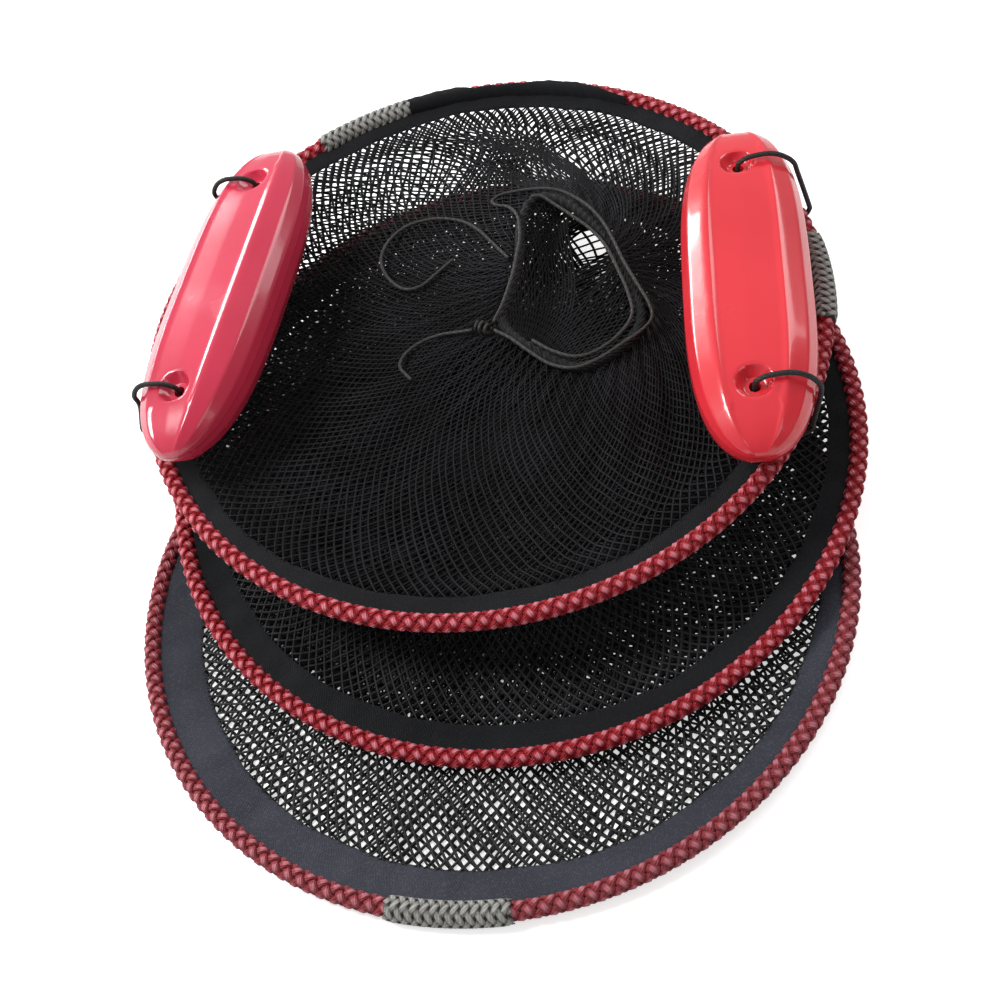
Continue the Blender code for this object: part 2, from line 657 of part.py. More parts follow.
def float_shell_mesh():
    """One half shell: outer form, hollow, with a boss round each tie hole."""
    spots = [(0.0, HOLE_SPACING / 2), (0.0, -HOLE_SPACING / 2)]
    outer_form = float_body("float_shell", 0.0, FLOAT_SPLIT_GAP / 2, FLOAT_STATIONS)
    inner_form = float_body("float_hollow", FLOAT_WALL, 0.0, HOLLOW_STATIONS)
    boss_form = cylinder_mesh("float_bosses", spots, DIMPLE_RADIUS + BOSS_WALL, FLOAT_THICKNESS)
    shell = bpy.data.objects.new("float_shell", outer_form)
    hollow = bpy.data.objects.new("float_hollow", inner_form)
    bosses = bpy.data.objects.new("float_bosses", boss_form)
    holes = bpy.data.objects.new("float_holes", dimple_mesh("float_holes", spots))
    CUTTERS.objects.link(shell)
    cut(hollow, bosses)
    cut(shell, hollow)
    cut(shell, holes)
    bpy.context.view_layer.update()
    mesh = bpy.data.meshes.new_from_object(shell.evaluated_get(bpy.context.evaluated_depsgraph_get()))
    mesh.name = "float_shell"
    smooth(mesh, 24)
    bpy.data.objects.remove(shell, do_unlink=True)
    return mesh


def hoop_crossing(spot, direction):
    """Distance from a spot inside the hoop, along a direction, to the hoop's centre line.

    The hoop's sides are flat, so the nearest side ahead is the one that is crossed. The second
    value is how much wider than its radius the rope is along that direction.
    """
    middle_of_side = HOOP_RADIUS * math.cos(math.pi / HOOP_SEGMENTS)
    crossings = []
    for k in range(HOOP_SEGMENTS):
        turn = 2 * math.pi * (k + 0.5) / HOOP_SEGMENTS
        normal = Vector((math.cos(turn), math.sin(turn)))
        facing = normal.dot(direction)
        if facing > 0:
            crossings.append(((middle_of_side - normal.dot(spot)) / facing, 1 / facing))
    return min(crossings)


def tie_points(distance, slant, along, height, roll):
    """One tie's closed loop in the upright plane through its hole, outwards and up from the hole.

    It rises through the hole, follows the float's skin to its outer edge, goes round the hoop and
    comes back under the float. What touches the float rolls with it.
    """
    across, crown = (size + TIE_OFFSET for size in float_half_sizes(along))
    tip = Matrix.Rotation(-roll, 2)
    over = [tip @ Vector((x * across, z * crown)) for x, z in TIE_OVER]
    under = [tip @ Vector((x * across, -z * crown)) for x, z in reversed(TIE_OVER[:TIE_UNDER])]
    turns = np.linspace(TIE_ROUND, -math.pi - TIE_ROUND, TIE_ROUND_STEPS + 1)
    middle = Vector((distance, -height))
    hoop = [middle + Vector((math.cos(t) * slant, math.sin(t))) * TIE_WRAP for t in turns]
    return over + hoop + under


def add_float(side, top_frame, shell, hem):
    """One float on its hinge line: two shells, two ties, and the notches that the ties need."""
    spec = FLOATS[side]
    turn = Matrix.Rotation(math.radians(spec["turn"]), 4, "Z")
    bearing = math.radians(spec["bearing"])
    roll = math.radians(spec["roll"])
    height = spec["height"]
    outward = Vector((spec["outward"], 0.0, 0.0))
    centre = Vector((math.cos(bearing), math.sin(bearing), 0.0)) * (HOOP_RADIUS - spec["inset"])
    centre.z = height
    to_hinge = outward * (FLOAT_WIDTH / 2 + HINGE_OUTSET)
    to_hinge.z = ROPE_RADIUS + FIT_GAP - height
    frame = make_frame(f"float_{side}_hinge", centre + turn @ to_hinge, turn.to_euler(), top_frame)
    for half, flip in (("top", 0.0), ("bottom", math.pi)):
        obj = finish(bpy.data.objects.new(f"float_{side}_{half}_shell", shell.copy()), "float", frame)
        obj.location = -to_hinge
        obj.rotation_euler = (0.0, flip + roll * outward.x, 0.0)
    direction = (turn @ outward).to_2d()
    for place, along in (("rear", HOLE_SPACING / 2), ("front", -HOLE_SPACING / 2)):
        hole = (centre + turn @ Vector((0.0, along, 0.0))).to_2d()
        distance, slant = hoop_crossing(hole, direction)
        loop = tie_points(distance, slant, along, height, roll)
        points = [Vector((outward.x * x, along, z)) - to_hinge for x, z in loop]
        solid_rod(f"float_{side}_{place}_tie", points, TIE_RADIUS, "tie", frame, resolution=1, cyclic=True)
        notch = hole + direction * (distance - TIE_WRAP * slant)
        mesh = cylinder_mesh(f"notch_{side}_{place}", [notch], TIE_RADIUS + NOTCH_CLEARANCE, HEM_WIDTH)
        cutter = bpy.data.objects.new(mesh.name, mesh)
        cutter.parent = top_frame
        cut(hem, cutter)


def main():
    base_frame = make_frame("base_frame", (0.0, 0.0, SPLICE_RADIUS))
    middle_frame = make_frame("middle_frame", MIDDLE_PLACE, (MIDDLE_LEAN, 0.0, 0.0))
    top_frame = make_frame("top_frame", TOP_PLACE, (TOP_LEAN, 0.0, 0.0))
    add_hoop("base", base_frame, BASE_SPLICES)
    add_hoop("middle", middle_frame, MIDDLE_SPLICES)
    top_hem = add_hoop("top", top_frame, TOP_SPLICES)
    add_base_net(base_frame)
    add_side_net("lower_net", base_frame, middle_frame, LOWER_FOLD_RISE)
    add_side_net("upper_net", middle_frame, top_frame, UPPER_FOLD_RISE)
    add_top_net(top_frame)
    add_mouth_rim(top_frame)
    add_draw_cord(top_frame)
    shell = float_shell_mesh()
    for side in FLOATS:
        add_float(side, top_frame, shell, top_hem)
    bpy.context.view_layer.update()


main()
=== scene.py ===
"""Floating fish basket: braided hoops, netting, floats and cords, dressed over the CAD frame.

Every shape is a surface worked out with numpy. Sizes are metres, angles round a hoop are degrees from
its right-hand side, and +Z is up.
"""

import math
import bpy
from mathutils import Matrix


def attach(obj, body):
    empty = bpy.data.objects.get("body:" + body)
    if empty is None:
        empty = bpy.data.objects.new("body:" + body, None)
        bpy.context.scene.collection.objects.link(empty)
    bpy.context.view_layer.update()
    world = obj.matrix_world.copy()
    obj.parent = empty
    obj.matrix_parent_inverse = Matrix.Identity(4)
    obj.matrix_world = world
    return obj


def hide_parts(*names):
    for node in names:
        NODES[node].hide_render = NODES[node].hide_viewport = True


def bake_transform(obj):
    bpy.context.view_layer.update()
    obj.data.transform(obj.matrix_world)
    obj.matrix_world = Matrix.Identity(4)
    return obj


bl_info = {
    "name": "Floating fish basket",
    "version": (1, 0, 0),
    "blender": (4, 5, 0),
    "location": "View3D > Sidebar > Basket",
    "description": "Builds a folded floating fish basket, piece by piece, over its frame",
    "category": "Object",
}

import bpy
import numpy as np
from bpy.props import FloatProperty, FloatVectorProperty, IntProperty, PointerProperty
from mathutils import Matrix, Vector

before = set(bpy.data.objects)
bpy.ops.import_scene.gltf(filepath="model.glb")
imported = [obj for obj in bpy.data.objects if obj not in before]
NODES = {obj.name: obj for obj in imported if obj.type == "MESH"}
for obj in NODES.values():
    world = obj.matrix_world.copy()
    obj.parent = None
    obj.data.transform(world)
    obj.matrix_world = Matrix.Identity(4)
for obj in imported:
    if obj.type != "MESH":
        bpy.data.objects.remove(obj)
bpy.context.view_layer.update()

# Hoops: where each one's centre line lies, its lean back about the left-right line, and its joints
HOOP_RADIUS = 0.175
HOOPS = {
    "base": {"place": (0.0, 0.0, 0.00619), "lean": 0.0, "splices": (-94.5,)},
    "middle": {"place": (0.011, 0.071, 0.024), "lean": 4.0, "splices": (80.0,)},
    "top": {"place": (0.0, 0.121, 0.060), "lean": 3.0, "splices": (2.5, 114.0)},
}
SPLICE_HALF_TURN = 9.1
FADED_ROPE = (0.10, 0.08, 0.09)
# Degrees of rope that run on inside a joint cover
ROPE_HIDDEN = 0.9
# Braids: a strand's half width and half thickness, and how far the braid narrows at its ends
ROPE_STRAND = (0.0021, 0.001)
ROPE_END = 0.12
COVER_STRAND = (0.00138, 0.00046)
COVER_END = 0.1
COVER_RADIUS, COVER_RISE, COVER_PAIRS, COVER_LEAD = 0.00548, 0.00022, 4, 0.018
COVER_LINING = 0.0053
BRAID_TAPER = 0.004

# Cloth band and netting
HEM_OUTER = 0.1697
HEM_INNER = 0.1501
HEM_FALL = 0.00379
# The cloth's half thickness, and its beads: share of the way in, reach and size
HEM_PUFF = 0.00055
HEM_BEADS = ((0.08, 0.06, 0.00025), (0.9, 0.05, 0.0002))
# How far the band's outer edge is tucked in between the rope's strands
HEM_TUCK = 0.0024
NET_START = 0.1642
NET_LIFT = 0.0014
HEM_LAP = NET_START - HEM_INNER
# Inner edge of each hoop's band where it is narrowest and widest, and the bearing where it is widest
BANDS = {
    "base": (0.1615, HEM_INNER, 200.0),
    "middle": (0.1600, 0.1560, 200.0),
    "top": (0.1612, 0.1605, 270.0),
}
# Uneven waves round a hoop: the count, size and phase of each sine in the band's inner edge and its puckers,
# and in the cloth patch's frayed edge (its sizes are angles) and creases
EDGE_WAVE = ((5, 0.0005, 0.4), (11, 0.0004, 1.9), (23, 0.0003, 0.8), (41, 0.0002, 2.6))
PUCKER_WAVE = ((17, 0.00032, 0.3), (37, 0.00026, 2.1), (64, 0.00019, 1.1))
FRAY_WAVE = ((67, 0.03, 0.4), (151, 0.02, 2.0))
CREASE_WAVE = ((83, 0.00016, 0.3), (190, 0.0001, 1.2))
# Length over which netting comes out of a band, and the share of it inside the edge
BAND_EXIT = 0.003
BAND_EXIT_INSIDE = 0.3
TIER_HALF = 0.120
FOLD_HEIGHT = 0.0034
FOLD_LIP = 0.002
# Share of a flap's way at which it turns over to the fold's lip
LIP_START = 0.97
# Side nets: the hoops below and above, how high between them the fold lies, and the heights between which
# the upper flap goes over from the lower hoop to the upper one
SIDE_NETS = {
    "lower_net": ("base", "middle", 0.0, (0.0064, 0.0134)),
    "upper_net": ("middle", "top", 0.35, (0.0397, 0.0480)),
}
# The bottom net: its least height, how far it runs below its band and reaches into it, the bearings of its two
# sets of strands, and the width near its edge over which they straighten
BASE_NET_HEIGHT = 0.0009
BASE_NET_DROP = 0.0018
BASE_NET_TUCK = 0.0015
BASE_NET_TURNS = (45, 135)
BASE_NET_FADE = 0.02
# Radians that a strand strays from its even lattice, and half the arc over which crowding is measured
NET_STRAY = 0.0022
NET_PROBE = 0.004
# Where a net's strands are pushed apart, or bunched by a negative push: bearing, depth, most that a strand is pushed,
# reach of the push, half length, and the share of the reach at which it is greatest (near 0 the strands leave a gap)
PARTINGS = {
    "lower_net_upper": ((72.5, 0.0215, 0.013, 0.040, 0.034, 0.01),),
    "upper_net_upper": ((53.0, 0.0725, 0.025, 0.065, 0.042, 0.01), (88.0, 0.036, -0.018, 0.080, 0.034, 0.5)),
    "upper_net_lower": ((70.0, 0.0290, 0.012, 0.050, 0.045, 0.24),),
    "top_net": ((86.0, 0.038, -0.018, 0.080, 0.034, 0.5),),
}
# Thickness of a net's twine beside the bottom net's, and how flat every strand is
TWINE_SHARE = {
    "lower_net_lower": 1.0, "lower_net_upper": 1.45, "upper_net_lower": 1.15, "upper_net_upper": 1.2,
    "top_net": 1.05,
}
TWINE_FLATNESS = 0.9
# As shares: how thick a strand is drawn where strands meet, its limits, and how thick it is inside a band
TWINE_CROWDED = 0.35
TWINE_LIMITS = (0.5, 1.05)
TWINE_HIDDEN = 0.4

# Cloth patch sewn over the rope of the top hoop beside its left joint
SLEEVE_SPAN = (62.0, 105.0)
SLEEVE_RADIUS = 0.0051
SLEEVE_THICKNESS = 0.0005
SLEEVE_EDGE = ((62.0, 132.0), (66.0, 112.0), (72.0, 82.0), (78.0, 78.0), (83.0, 98.0), (92.0, 98.0), (95.0, 74.0),
               (99.0, 10.0), (105.0, -8.0))
SLEEVE_START = 196.0

# Mouth
MOUTH_UNIT = 0.119 / 100
MOUTH_OUTLINE = (
    (10.9, -2.5), (14.3, 15.1), (17.6, 35.3), (18.5, 55.5), (25.2, 68.9), (38.7, 63.9), (52.9, 46.2),
    (63.0, 21.0), (70.6, -5.0), (63.9, -21.0), (43.7, -31.1), (23.5, -18.5),
)
RIM_RADIUS = 0.003
RIM_HEIGHT = 0.004
# How far out from the mouth's outline the net meets the rim, and the roll's radius and corners
RIM_MEET = RIM_RADIUS * 0.8
RIM_ROLL = RIM_RADIUS * 0.86
RIM_CORNERS = 20
TOP_NET_EDGE = 0.003
TOP_NET_SAG = 0.004

# Draw cord routes, in tenths of a millimetre across, back and up from the middle of the top hoop
CORD_UNIT = 0.0001
CORD_ROUTES = {
    "draw_cord_loop": (
        (86, -44, 70), (130, 40, 89), (155, 130, 89), (185, 250, 89), (205, 380, 89), (220, 520, 89),
        (205, 660, 89), (150, 765, 56), (80, 805, 40), (55, 845, 33), (100, 885, 33), (220, 890, 44),
        (340, 875, 53), (430, 845, 53), (510, 780, 58), (590, 680, 74), (660, 555, 83), (715, 410, 85),
        (760, 270, 86), (820, 120, 85), (880, -20, 74), (895, -110, 62), (845, -200, 79), (740, -285, 87),
        (620, -365, 86), (500, -400, 81), (380, -355, 72), (270, -260, 76), (180, -170, 78), (92, -96, 68),
    ),
    "draw_cord_strand": (
        (280, 790, 90), (335, 785, 88), (390, 740, 78), (490, 640, 73), (590, 525, 75), (670, 390, 81),
        (730, 220, 81), (780, 50, 77), (795, -90, 73), (730, -205, 71), (615, -300, 74), (505, -330, 81),
        (390, -280, 83), (290, -200, 83),
    ),
    "draw_cord_tail_rear": (
        (155, 400, 50), (65, 530, 40), (-20, 650, 30), (-125, 740, 20), (-270, 785, 10), (-420, 760, 5),
        (-520, 660, 5), (-555, 530, 5), (-510, 400, 5), (-415, 305, 5), (-320, 310, 10), (-240, 380, 15),
        (-155, 460, 20),
    ),
    "draw_cord_tail_front": (
        (-25, -68, 54), (-105, -56, 34), (-200, -50, 20), (-300, -75, 10), (-380, -135, 5), (-410, -220, 5),
        (-345, -315, 5),
    ),
}
KNOT_PLACE = (0.0030, -0.0065, 0.0061)
KNOT_SIZE = (0.0050, 0.0034, 0.0028)
KNOT_TURNS = 3.0
KNOT_BEARING = -35

# Floats
FLOAT_HALF_LENGTH = 0.1025
FLOAT_HALF_WIDTH = 0.0315
FLOAT_HALF_HEIGHT = 0.019
FLOAT_END_POWER = 3.2
FLOAT_ROUND_POWER = 2.2
FLOAT_SPLIT = 0.00015
FLOATS = {
    "left": {"bearing": 173.1, "inset": 0.046, "height": 0.025, "turn": -10.5, "roll": 13.5, "outward": -1},
    "right": {"bearing": -5.0, "inset": 0.037, "height": 0.0225, "turn": -0.5, "roll": 0.0, "outward": 1},
}
FLOAT_SECTION = (
    (1.0, 0.0), (0.985, 0.30), (0.87, 0.66), (0.63, 0.925), (0.55, 1.0), (0.475, 0.955), (0.0, 0.975),
)
HOLE_REACH = 0.0695
HOLE_RADIUS = 0.003
# The shell's grid: its step, its rows between the ends, and the squares round a hole that become circles
SHELL_STEP = 0.001
SHELL_ROWS = 84
SHELL_END_ROWS = 20
# Share of the float's half length at which the shell's grid closes, and degrees from which an edge is sharp
SHELL_TIP = 0.9996
SHELL_SHARP = 38
# The section's points before it is rounded, the width of the running average in points, and its corners
SECTION_POINTS = 400
SECTION_BLUR = 27
SECTION_CORNERS = 44
HOLE_SQUARES = (0.0015, 0.0135)
DIMPLE_STEPS = ((0.0, 1.0), (0.0051, 1.0), (0.0073, 0.55), (0.0085, 0.07), (0.0100, 0.0))
DIMPLE_DEPTH = 0.0055
TIE_RADIUS = 0.0013
TIE_OFFSET = 0.0019
TIE_WRAP = 0.00725
TIE_OVER = (
    (0.0, 0.62), (0.055, 0.83), (0.18, 0.965), (0.38, 1.03), (0.58, 1.03), (0.78, 0.90), (0.96, 0.60),
    (1.03, 0.16),
)
TIE_UNDER = 4
# Degrees between which a tie goes round the hoop
TIE_TURNS = (15, -195)

# Camera: it looks at a spot on the floor from a distance, turned, raised and rolled
CAMERA_AIM = (0.0020, 0.0526, 0.0)
CAMERA_DISTANCE = 0.8325
CAMERA_TURN = 14.79
CAMERA_RISE = 51.85
CAMERA_ROLL = -16.67
CAMERA_LENS = 57.54

# Stage: the patch of floor below the basket that is painted darker to the camera, a painted shadow, as the mapping
# that makes it a unit circle, and each lamp's place, size and share of the key light's power
FLOOR_REACH = 6.0
FLOOR_SHADOW_PATCH = {"Location": (0.133, -0.607, 0.0), "Scale": (1 / 0.15, 1 / 0.14, 1.0)}
# The room is darkest this way
ROOM_SHADE = (0.8, -0.6, 0.0)
LAMP_AIM = (0.0, 0.06, 0.0)
LAMPS = {
    "key": ((-0.85, 0.10, 1.1), (0.45, 0.45), 1.0),
    "fill": ((0.75, -0.55, 0.9), (0.7, 0.7), 0.15),
    "window": ((-1.095, 1.105, 0.43), (0.55, 0.24), 0.6),
    "back": ((0.87, 0.95, 0.93), (0.8, 0.8), 0.5),
}

# How finely surfaces are cut: metres along cords and the rim, then stations and corners of cloth and netting
CORD_STEP = 0.0012
RIM_STEP = 0.0009
MOUTH_STEP = 0.001
CORE_STEP = 0.003
BAND_GRID = (720, 28)
SLEEVE_GRID = (240, 22)
BASE_NET_STATIONS = 42
SIDE_NET_STATIONS = 44
TOP_NET_STATIONS = 50

TURN = 2 * math.pi


# Shapes

def unit(vectors):
    """Each vector divided by its length."""
    return vectors / np.maximum(np.linalg.norm(vectors, axis=-1, keepdims=True), 1e-12)


def lean_matrix(hoop):
    """The rotation that leans a hoop back about its left-right line."""
    return np.array(Matrix.Rotation(math.radians(HOOPS[hoop]["lean"]), 3, "X"))


def hoop_up(hoop):
    """The way up from a hoop's plane."""
    return lean_matrix(hoop)[:, 2]


def lay(hoop, local):
    """Points of a hoop's own frame, leaned and moved to the hoop's place."""
    return local @ lean_matrix(hoop).T + np.array(HOOPS[hoop]["place"])


def ring(hoop, angle, radius, height):
    """World points round a hoop: a radius turned by an angle, and raised above the hoop's plane."""
    angle, radius, height = np.broadcast_arrays(angle, radius, height)
    return lay(hoop, np.stack([radius * np.cos(angle), radius * np.sin(angle), height], axis=-1))


def path_length(points):
    """The distances from each point to the next, added up."""
    return float(np.linalg.norm(np.diff(points, axis=0), axis=1).sum())


def resample(points, count):
    """The line through points, cut at even distances along it."""
    lengths = np.concatenate([[0], np.cumsum(np.linalg.norm(np.diff(points, axis=0), axis=1))])
    marks = np.linspace(0, lengths[-1], count)
    return np.stack([np.interp(marks, lengths, points[:, k]) for k in range(points.shape[1])], axis=1)


def smooth_path(points, step, closed=False):
    """A cubic through points, each stretch bent by its neighbours, cut into even steps."""
    control = np.array(points, float)
    if closed:
        padded = np.vstack([control[-1:], control, control[:2]])
    else:
        padded = np.vstack([2 * control[:1] - control[1:2], control, 2 * control[-1:] - control[-2:-1]])
    p0, p1, p2, p3 = (padded[k:len(padded) - 3 + k, None, :] for k in range(4))
    t = np.linspace(0, 1, 24, endpoint=False)[None, :, None]
    bend = (2 * p0 - 5 * p1 + 4 * p2 - p3) * t**2 + (3 * p1 - p0 - 3 * p2 + p3) * t**3
    dense = (0.5 * (2 * p1 + (p2 - p0) * t + bend)).reshape(-1, control.shape[1])
    dense = np.vstack([dense, dense[:1] if closed else control[-1:]])
    even = resample(dense, max(2, round(path_length(dense) / step)) + 1)
    return even[:-1] if closed else even


def sections(centres, facing, half_width, half_thickness, sides, closed=False):
    """Rings of corners carried along centre lines: an ellipse whose short axis points where facing does.

    centres is (lines, stations, 3), facing is that or one direction, and the result is
    (lines, stations, sides, 3).
    """
    if closed:
        along = np.roll(centres, -1, axis=1) - np.roll(centres, 1, axis=1)
    else:
        along = np.gradient(centres, axis=1)
    across = unit(np.cross(unit(along), facing))
    upward = unit(np.cross(across, unit(along)))
    corner = (np.arange(sides) * TURN / sides)[:, None]
    spread, height = (np.broadcast_to(size, centres.shape[:2])[:, :, None, None]
                      for size in (half_width, half_thickness))
    across, upward = across[:, :, None, :], upward[:, :, None, :]
    return centres[:, :, None, :] + np.cos(corner) * across * spread + np.sin(corner) * upward * height


class Skin:
    """Collects rings of corners into one mesh, with end caps, a UV map and one mark for each point.

    The UV map's first value goes once round each line, and its second is the distance along it.
    """

    def __init__(self):
        self.points, self.marks, self.quads, self.caps, self.count = [], [], [], [], 0

    def add(self, rings, closed=False, used=None, mark=0.0, slot=0):
        """rings is (lines, stations, sides, 3); used is how many stations of each line are kept."""
        lines, stations, sides = rings.shape[:3]
        used = np.full(lines, stations) if used is None else used
        span = stations if closed else stations - 1
        index = np.arange(lines * stations * sides).reshape(lines, stations, sides) + self.count
        here, following = index[:, :span], np.roll(index, -1, axis=1)[:, :span]
        kept = np.arange(span)[None, :] < (used - stations + span)[:, None]
        quads = np.stack([here, np.roll(here, -1, axis=2), np.roll(following, -1, axis=2), following], axis=-1)
        middles = rings.mean(axis=2)
        steps = np.linalg.norm(np.diff(middles, axis=1, append=middles[:, :1]), axis=2)
        far = np.cumsum(steps, axis=1)
        near = far - steps
        u = np.broadcast_to((np.arange(sides)[:, None] + (0, 1, 1, 0)) / sides, quads.shape)
        v = np.broadcast_to(np.stack([near, near, far, far], axis=-1)[:, :span, None, :], quads.shape)
        self.quads.append((quads[kept].reshape(-1, 4), np.stack([u, v], axis=-1)[kept].reshape(-1, 4, 2), slot))
        if not closed:
            rows = np.flatnonzero(used > 1)
            for cap in (index[rows, 0, ::-1], index[rows, used[rows] - 1]):
                self.caps.append((cap, np.zeros((*cap.shape, 2)), slot))
        self.points.append(rings.reshape(-1, 3))
        self.marks.append(np.broadcast_to(np.asarray(mark, float)[..., None], rings.shape[:3]).ravel())
        self.count += index.size

    def build(self, name, materials, sharp=None):
        """The finished mesh as an object at the origin; points that no face uses are left out."""
        faces, uvs, slots = zip(*self.quads, *self.caps)
        sizes = np.concatenate([np.full(len(f), f.shape[1]) for f in faces])
        kept, corners = np.unique(np.concatenate([f.ravel() for f in faces]), return_inverse=True)
        mesh = bpy.data.meshes.new(name)
        mesh.vertices.add(len(kept))
        mesh.loops.add(len(corners))
        mesh.polygons.add(len(sizes))
        for items, key, values, kind in (
            (mesh.vertices, "co", np.concatenate(self.points)[kept], np.float32),
            (mesh.loops, "vertex_index", corners, np.int32),
            (mesh.polygons, "loop_start", np.concatenate([[0], np.cumsum(sizes)[:-1]]), np.int32),
            (mesh.polygons, "material_index",
             np.concatenate([np.full(len(f), slot) for f, slot in zip(faces, slots)]), np.int32),
            (mesh.polygons, "use_smooth", np.ones(len(sizes)), bool),
        ):
            items.foreach_set(key, values.astype(kind).ravel())
        mesh.update(calc_edges=True)
        flat = np.concatenate([uv.reshape(-1, 2) for uv in uvs])
        mesh.uv_layers.new(name="UVMap").uv.foreach_set("vector", flat.astype(np.float32).ravel())
        attribute = mesh.attributes.new("mark", "FLOAT", "POINT")
        attribute.data.foreach_set("value", np.concatenate(self.marks)[kept].astype(np.float32))
        if sharp is not None:
            mesh.set_sharp_from_angle(angle=sharp)
        for material in materials:
            mesh.materials.append(material)
        mesh.validate()
        obj = bpy.data.objects.new(name, mesh)
        bpy.context.scene.collection.objects.link(obj)
        return obj


def tube(path, facing, radius, sides, closed=False):
    """A skin with one round tube along a path."""
    skin = Skin()
    skin.add(sections(path[None], facing, radius, radius, sides, closed), closed=closed)
    return skin


def dress(skin, name, finishes, body=None, node=None, sharp=None):
    """Build a skin as a piece with its material slot, the body that it rides on and the node it stands for."""
    piece = skin.build(name, finishes, sharp)
    if body:
        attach(piece, body)
    if node:
        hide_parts(node)
    return piece


def along_hoop(start, end, step, ends):
    """Distances along an arc of a hoop, their bearings, and a share that narrows smoothly at both ends."""
    length = math.radians(end - start) * HOOP_RADIUS
    s = np.linspace(0, length, max(8, round(length / step)) + 1)[None, :]
    narrow = 1 - ends * (1 - np.clip(np.minimum(s, length - s) / BRAID_TAPER, 0, 1)) ** 2
    return s, math.radians(start) + s / HOOP_RADIUS, narrow


def braid(skin, hoop, start, end, radius, rise, pairs, lead, strand, ends):
    """A round braid along a hoop: two sets of strands wind opposite ways and pass over and under.

    A strand's distance from the hoop's centre line is radius plus or minus rise times a cosine, with
    one wave for each of the crossings it goes over, so one set is high where the other is low.
    """
    s, bearing, narrow = along_hoop(start, end, lead / (8 * pairs), ends)
    turns = np.arange(pairs)[:, None] * TURN / pairs + TURN * s / lead
    for sense in (1, -1):
        wave = sense * np.cos(TURN * pairs * s / lead)
        away, outward, upward = (radius + rise * wave) * narrow, np.cos(turns), sense * np.sin(turns)
        centres = ring(hoop, bearing, HOOP_RADIUS + away * outward, away * upward)
        facing = np.stack([outward * np.cos(bearing), outward * np.sin(bearing), upward], axis=-1)
        skin.add(sections(centres, facing @ lean_matrix(hoop).T, *strand, 6), mark=0.5 + 0.5 * wave)


def hoop_tube(skin, hoop, start, end, radius, ends):
    """A plain round core along a hoop, narrowed at its two ends, that fills the braid over it."""
    _, bearing, narrow = along_hoop(start, end, CORE_STEP, ends)
    thick = radius * narrow
    skin.add(sections(ring(hoop, bearing, HOOP_RADIUS, 0.0), hoop_up(hoop), thick, thick, 12), slot=1)


def hem_height(radius):
    """Height of the cloth band above its hoop's plane: it falls evenly from the rope to its inner edge."""
    return -HEM_FALL * (HEM_OUTER - radius) / (HEM_OUTER - HEM_INNER)


def wobble(angle, terms):
    """A closed uneven wave: a sum of sines, each with its own count round the hoop, size and phase."""
    return sum(size * np.sin(count * angle + phase) for count, size, phase in terms)


def band_edge(hoop, angle):
    """Radius of a cloth band's inner edge, which strays a little in and out."""
    narrow, wide, bearing = BANDS[hoop]
    share = 0.5 + 0.5 * np.cos(angle - math.radians(bearing))
    return narrow + (wide - narrow) * share + wobble(angle, EDGE_WAVE)


def band_pucker(hoop, angle, radius):
    """How far a band's cloth strays up or down: an uneven wave that dies away at its two edges."""
    outer = HEM_OUTER + HEM_TUCK
    share = np.clip((outer - radius) / (outer - band_edge(hoop, angle)), 0, 1)
    return wobble(angle, PUCKER_WAVE) * np.sin(math.pi * share)


def out_of_band(hoop, angle, depth):
    """0 where netting runs between the band's two layers, and 1 once it has come out at the edge."""
    return np.clip((depth - NET_START + band_edge(hoop, angle)) / BAND_EXIT + BAND_EXIT_INSIDE, 0, 1)


def fold_line(lower, upper, angle, rise, draw_in):
    """Where the slack of a side net folds in between two hoops.

    The net's length is shared between its two seams, so in plan the fold lies on an ellipse with
    the seams as foci, straight in from the point midway between them.
    """
    a = ring(lower, angle, HEM_INNER, hem_height(HEM_INNER))
    b = ring(upper, angle, HEM_INNER, hem_height(HEM_INNER))
    inward = np.stack([-np.cos(angle), -np.sin(angle), np.zeros_like(angle)], axis=-1)
    half = (b - a) / 2 * np.array([1.0, 1.0, 0.0])
    square = (half**2).sum(-1)
    short = np.sqrt(TIER_HALF**2 - square)
    along = (unit(half) * inward).sum(-1)
    across = np.sqrt(np.clip(1 - along**2, 0, 1))
    reach = TIER_HALF * short / np.hypot(short * along, TIER_HALF * across)
    spot = (a + b) / 2 + inward * (reach + draw_in)[..., None]
    spot[..., 2] = a[..., 2] + (b[..., 2] - a[..., 2]) * rise
    return spot


def mouth_line(angle, outset):
    """The mouth's outline pushed out by an outset, at each angle seen from its own middle."""
    dense = smooth_path(np.array(MOUTH_OUTLINE) * MOUTH_UNIT, MOUTH_STEP, closed=True)
    middle = dense.mean(axis=0)
    along = unit(np.roll(dense, -1, axis=0) - np.roll(dense, 1, axis=0))
    area = (dense[:, 0] * np.roll(dense[:, 1], -1) - np.roll(dense[:, 0], -1) * dense[:, 1]).sum()
    pushed = dense + np.stack([along[:, 1], -along[:, 0]], axis=1) * math.copysign(outset, area)
    turns = np.arctan2(dense[:, 1] - middle[1], dense[:, 0] - middle[0]) % TURN
    order = np.argsort(turns)
    turns, pushed = turns[order], pushed[order]
    return np.stack([np.interp(angle % TURN, turns, pushed[:, k], period=TURN) for k in (0, 1)], axis=-1)


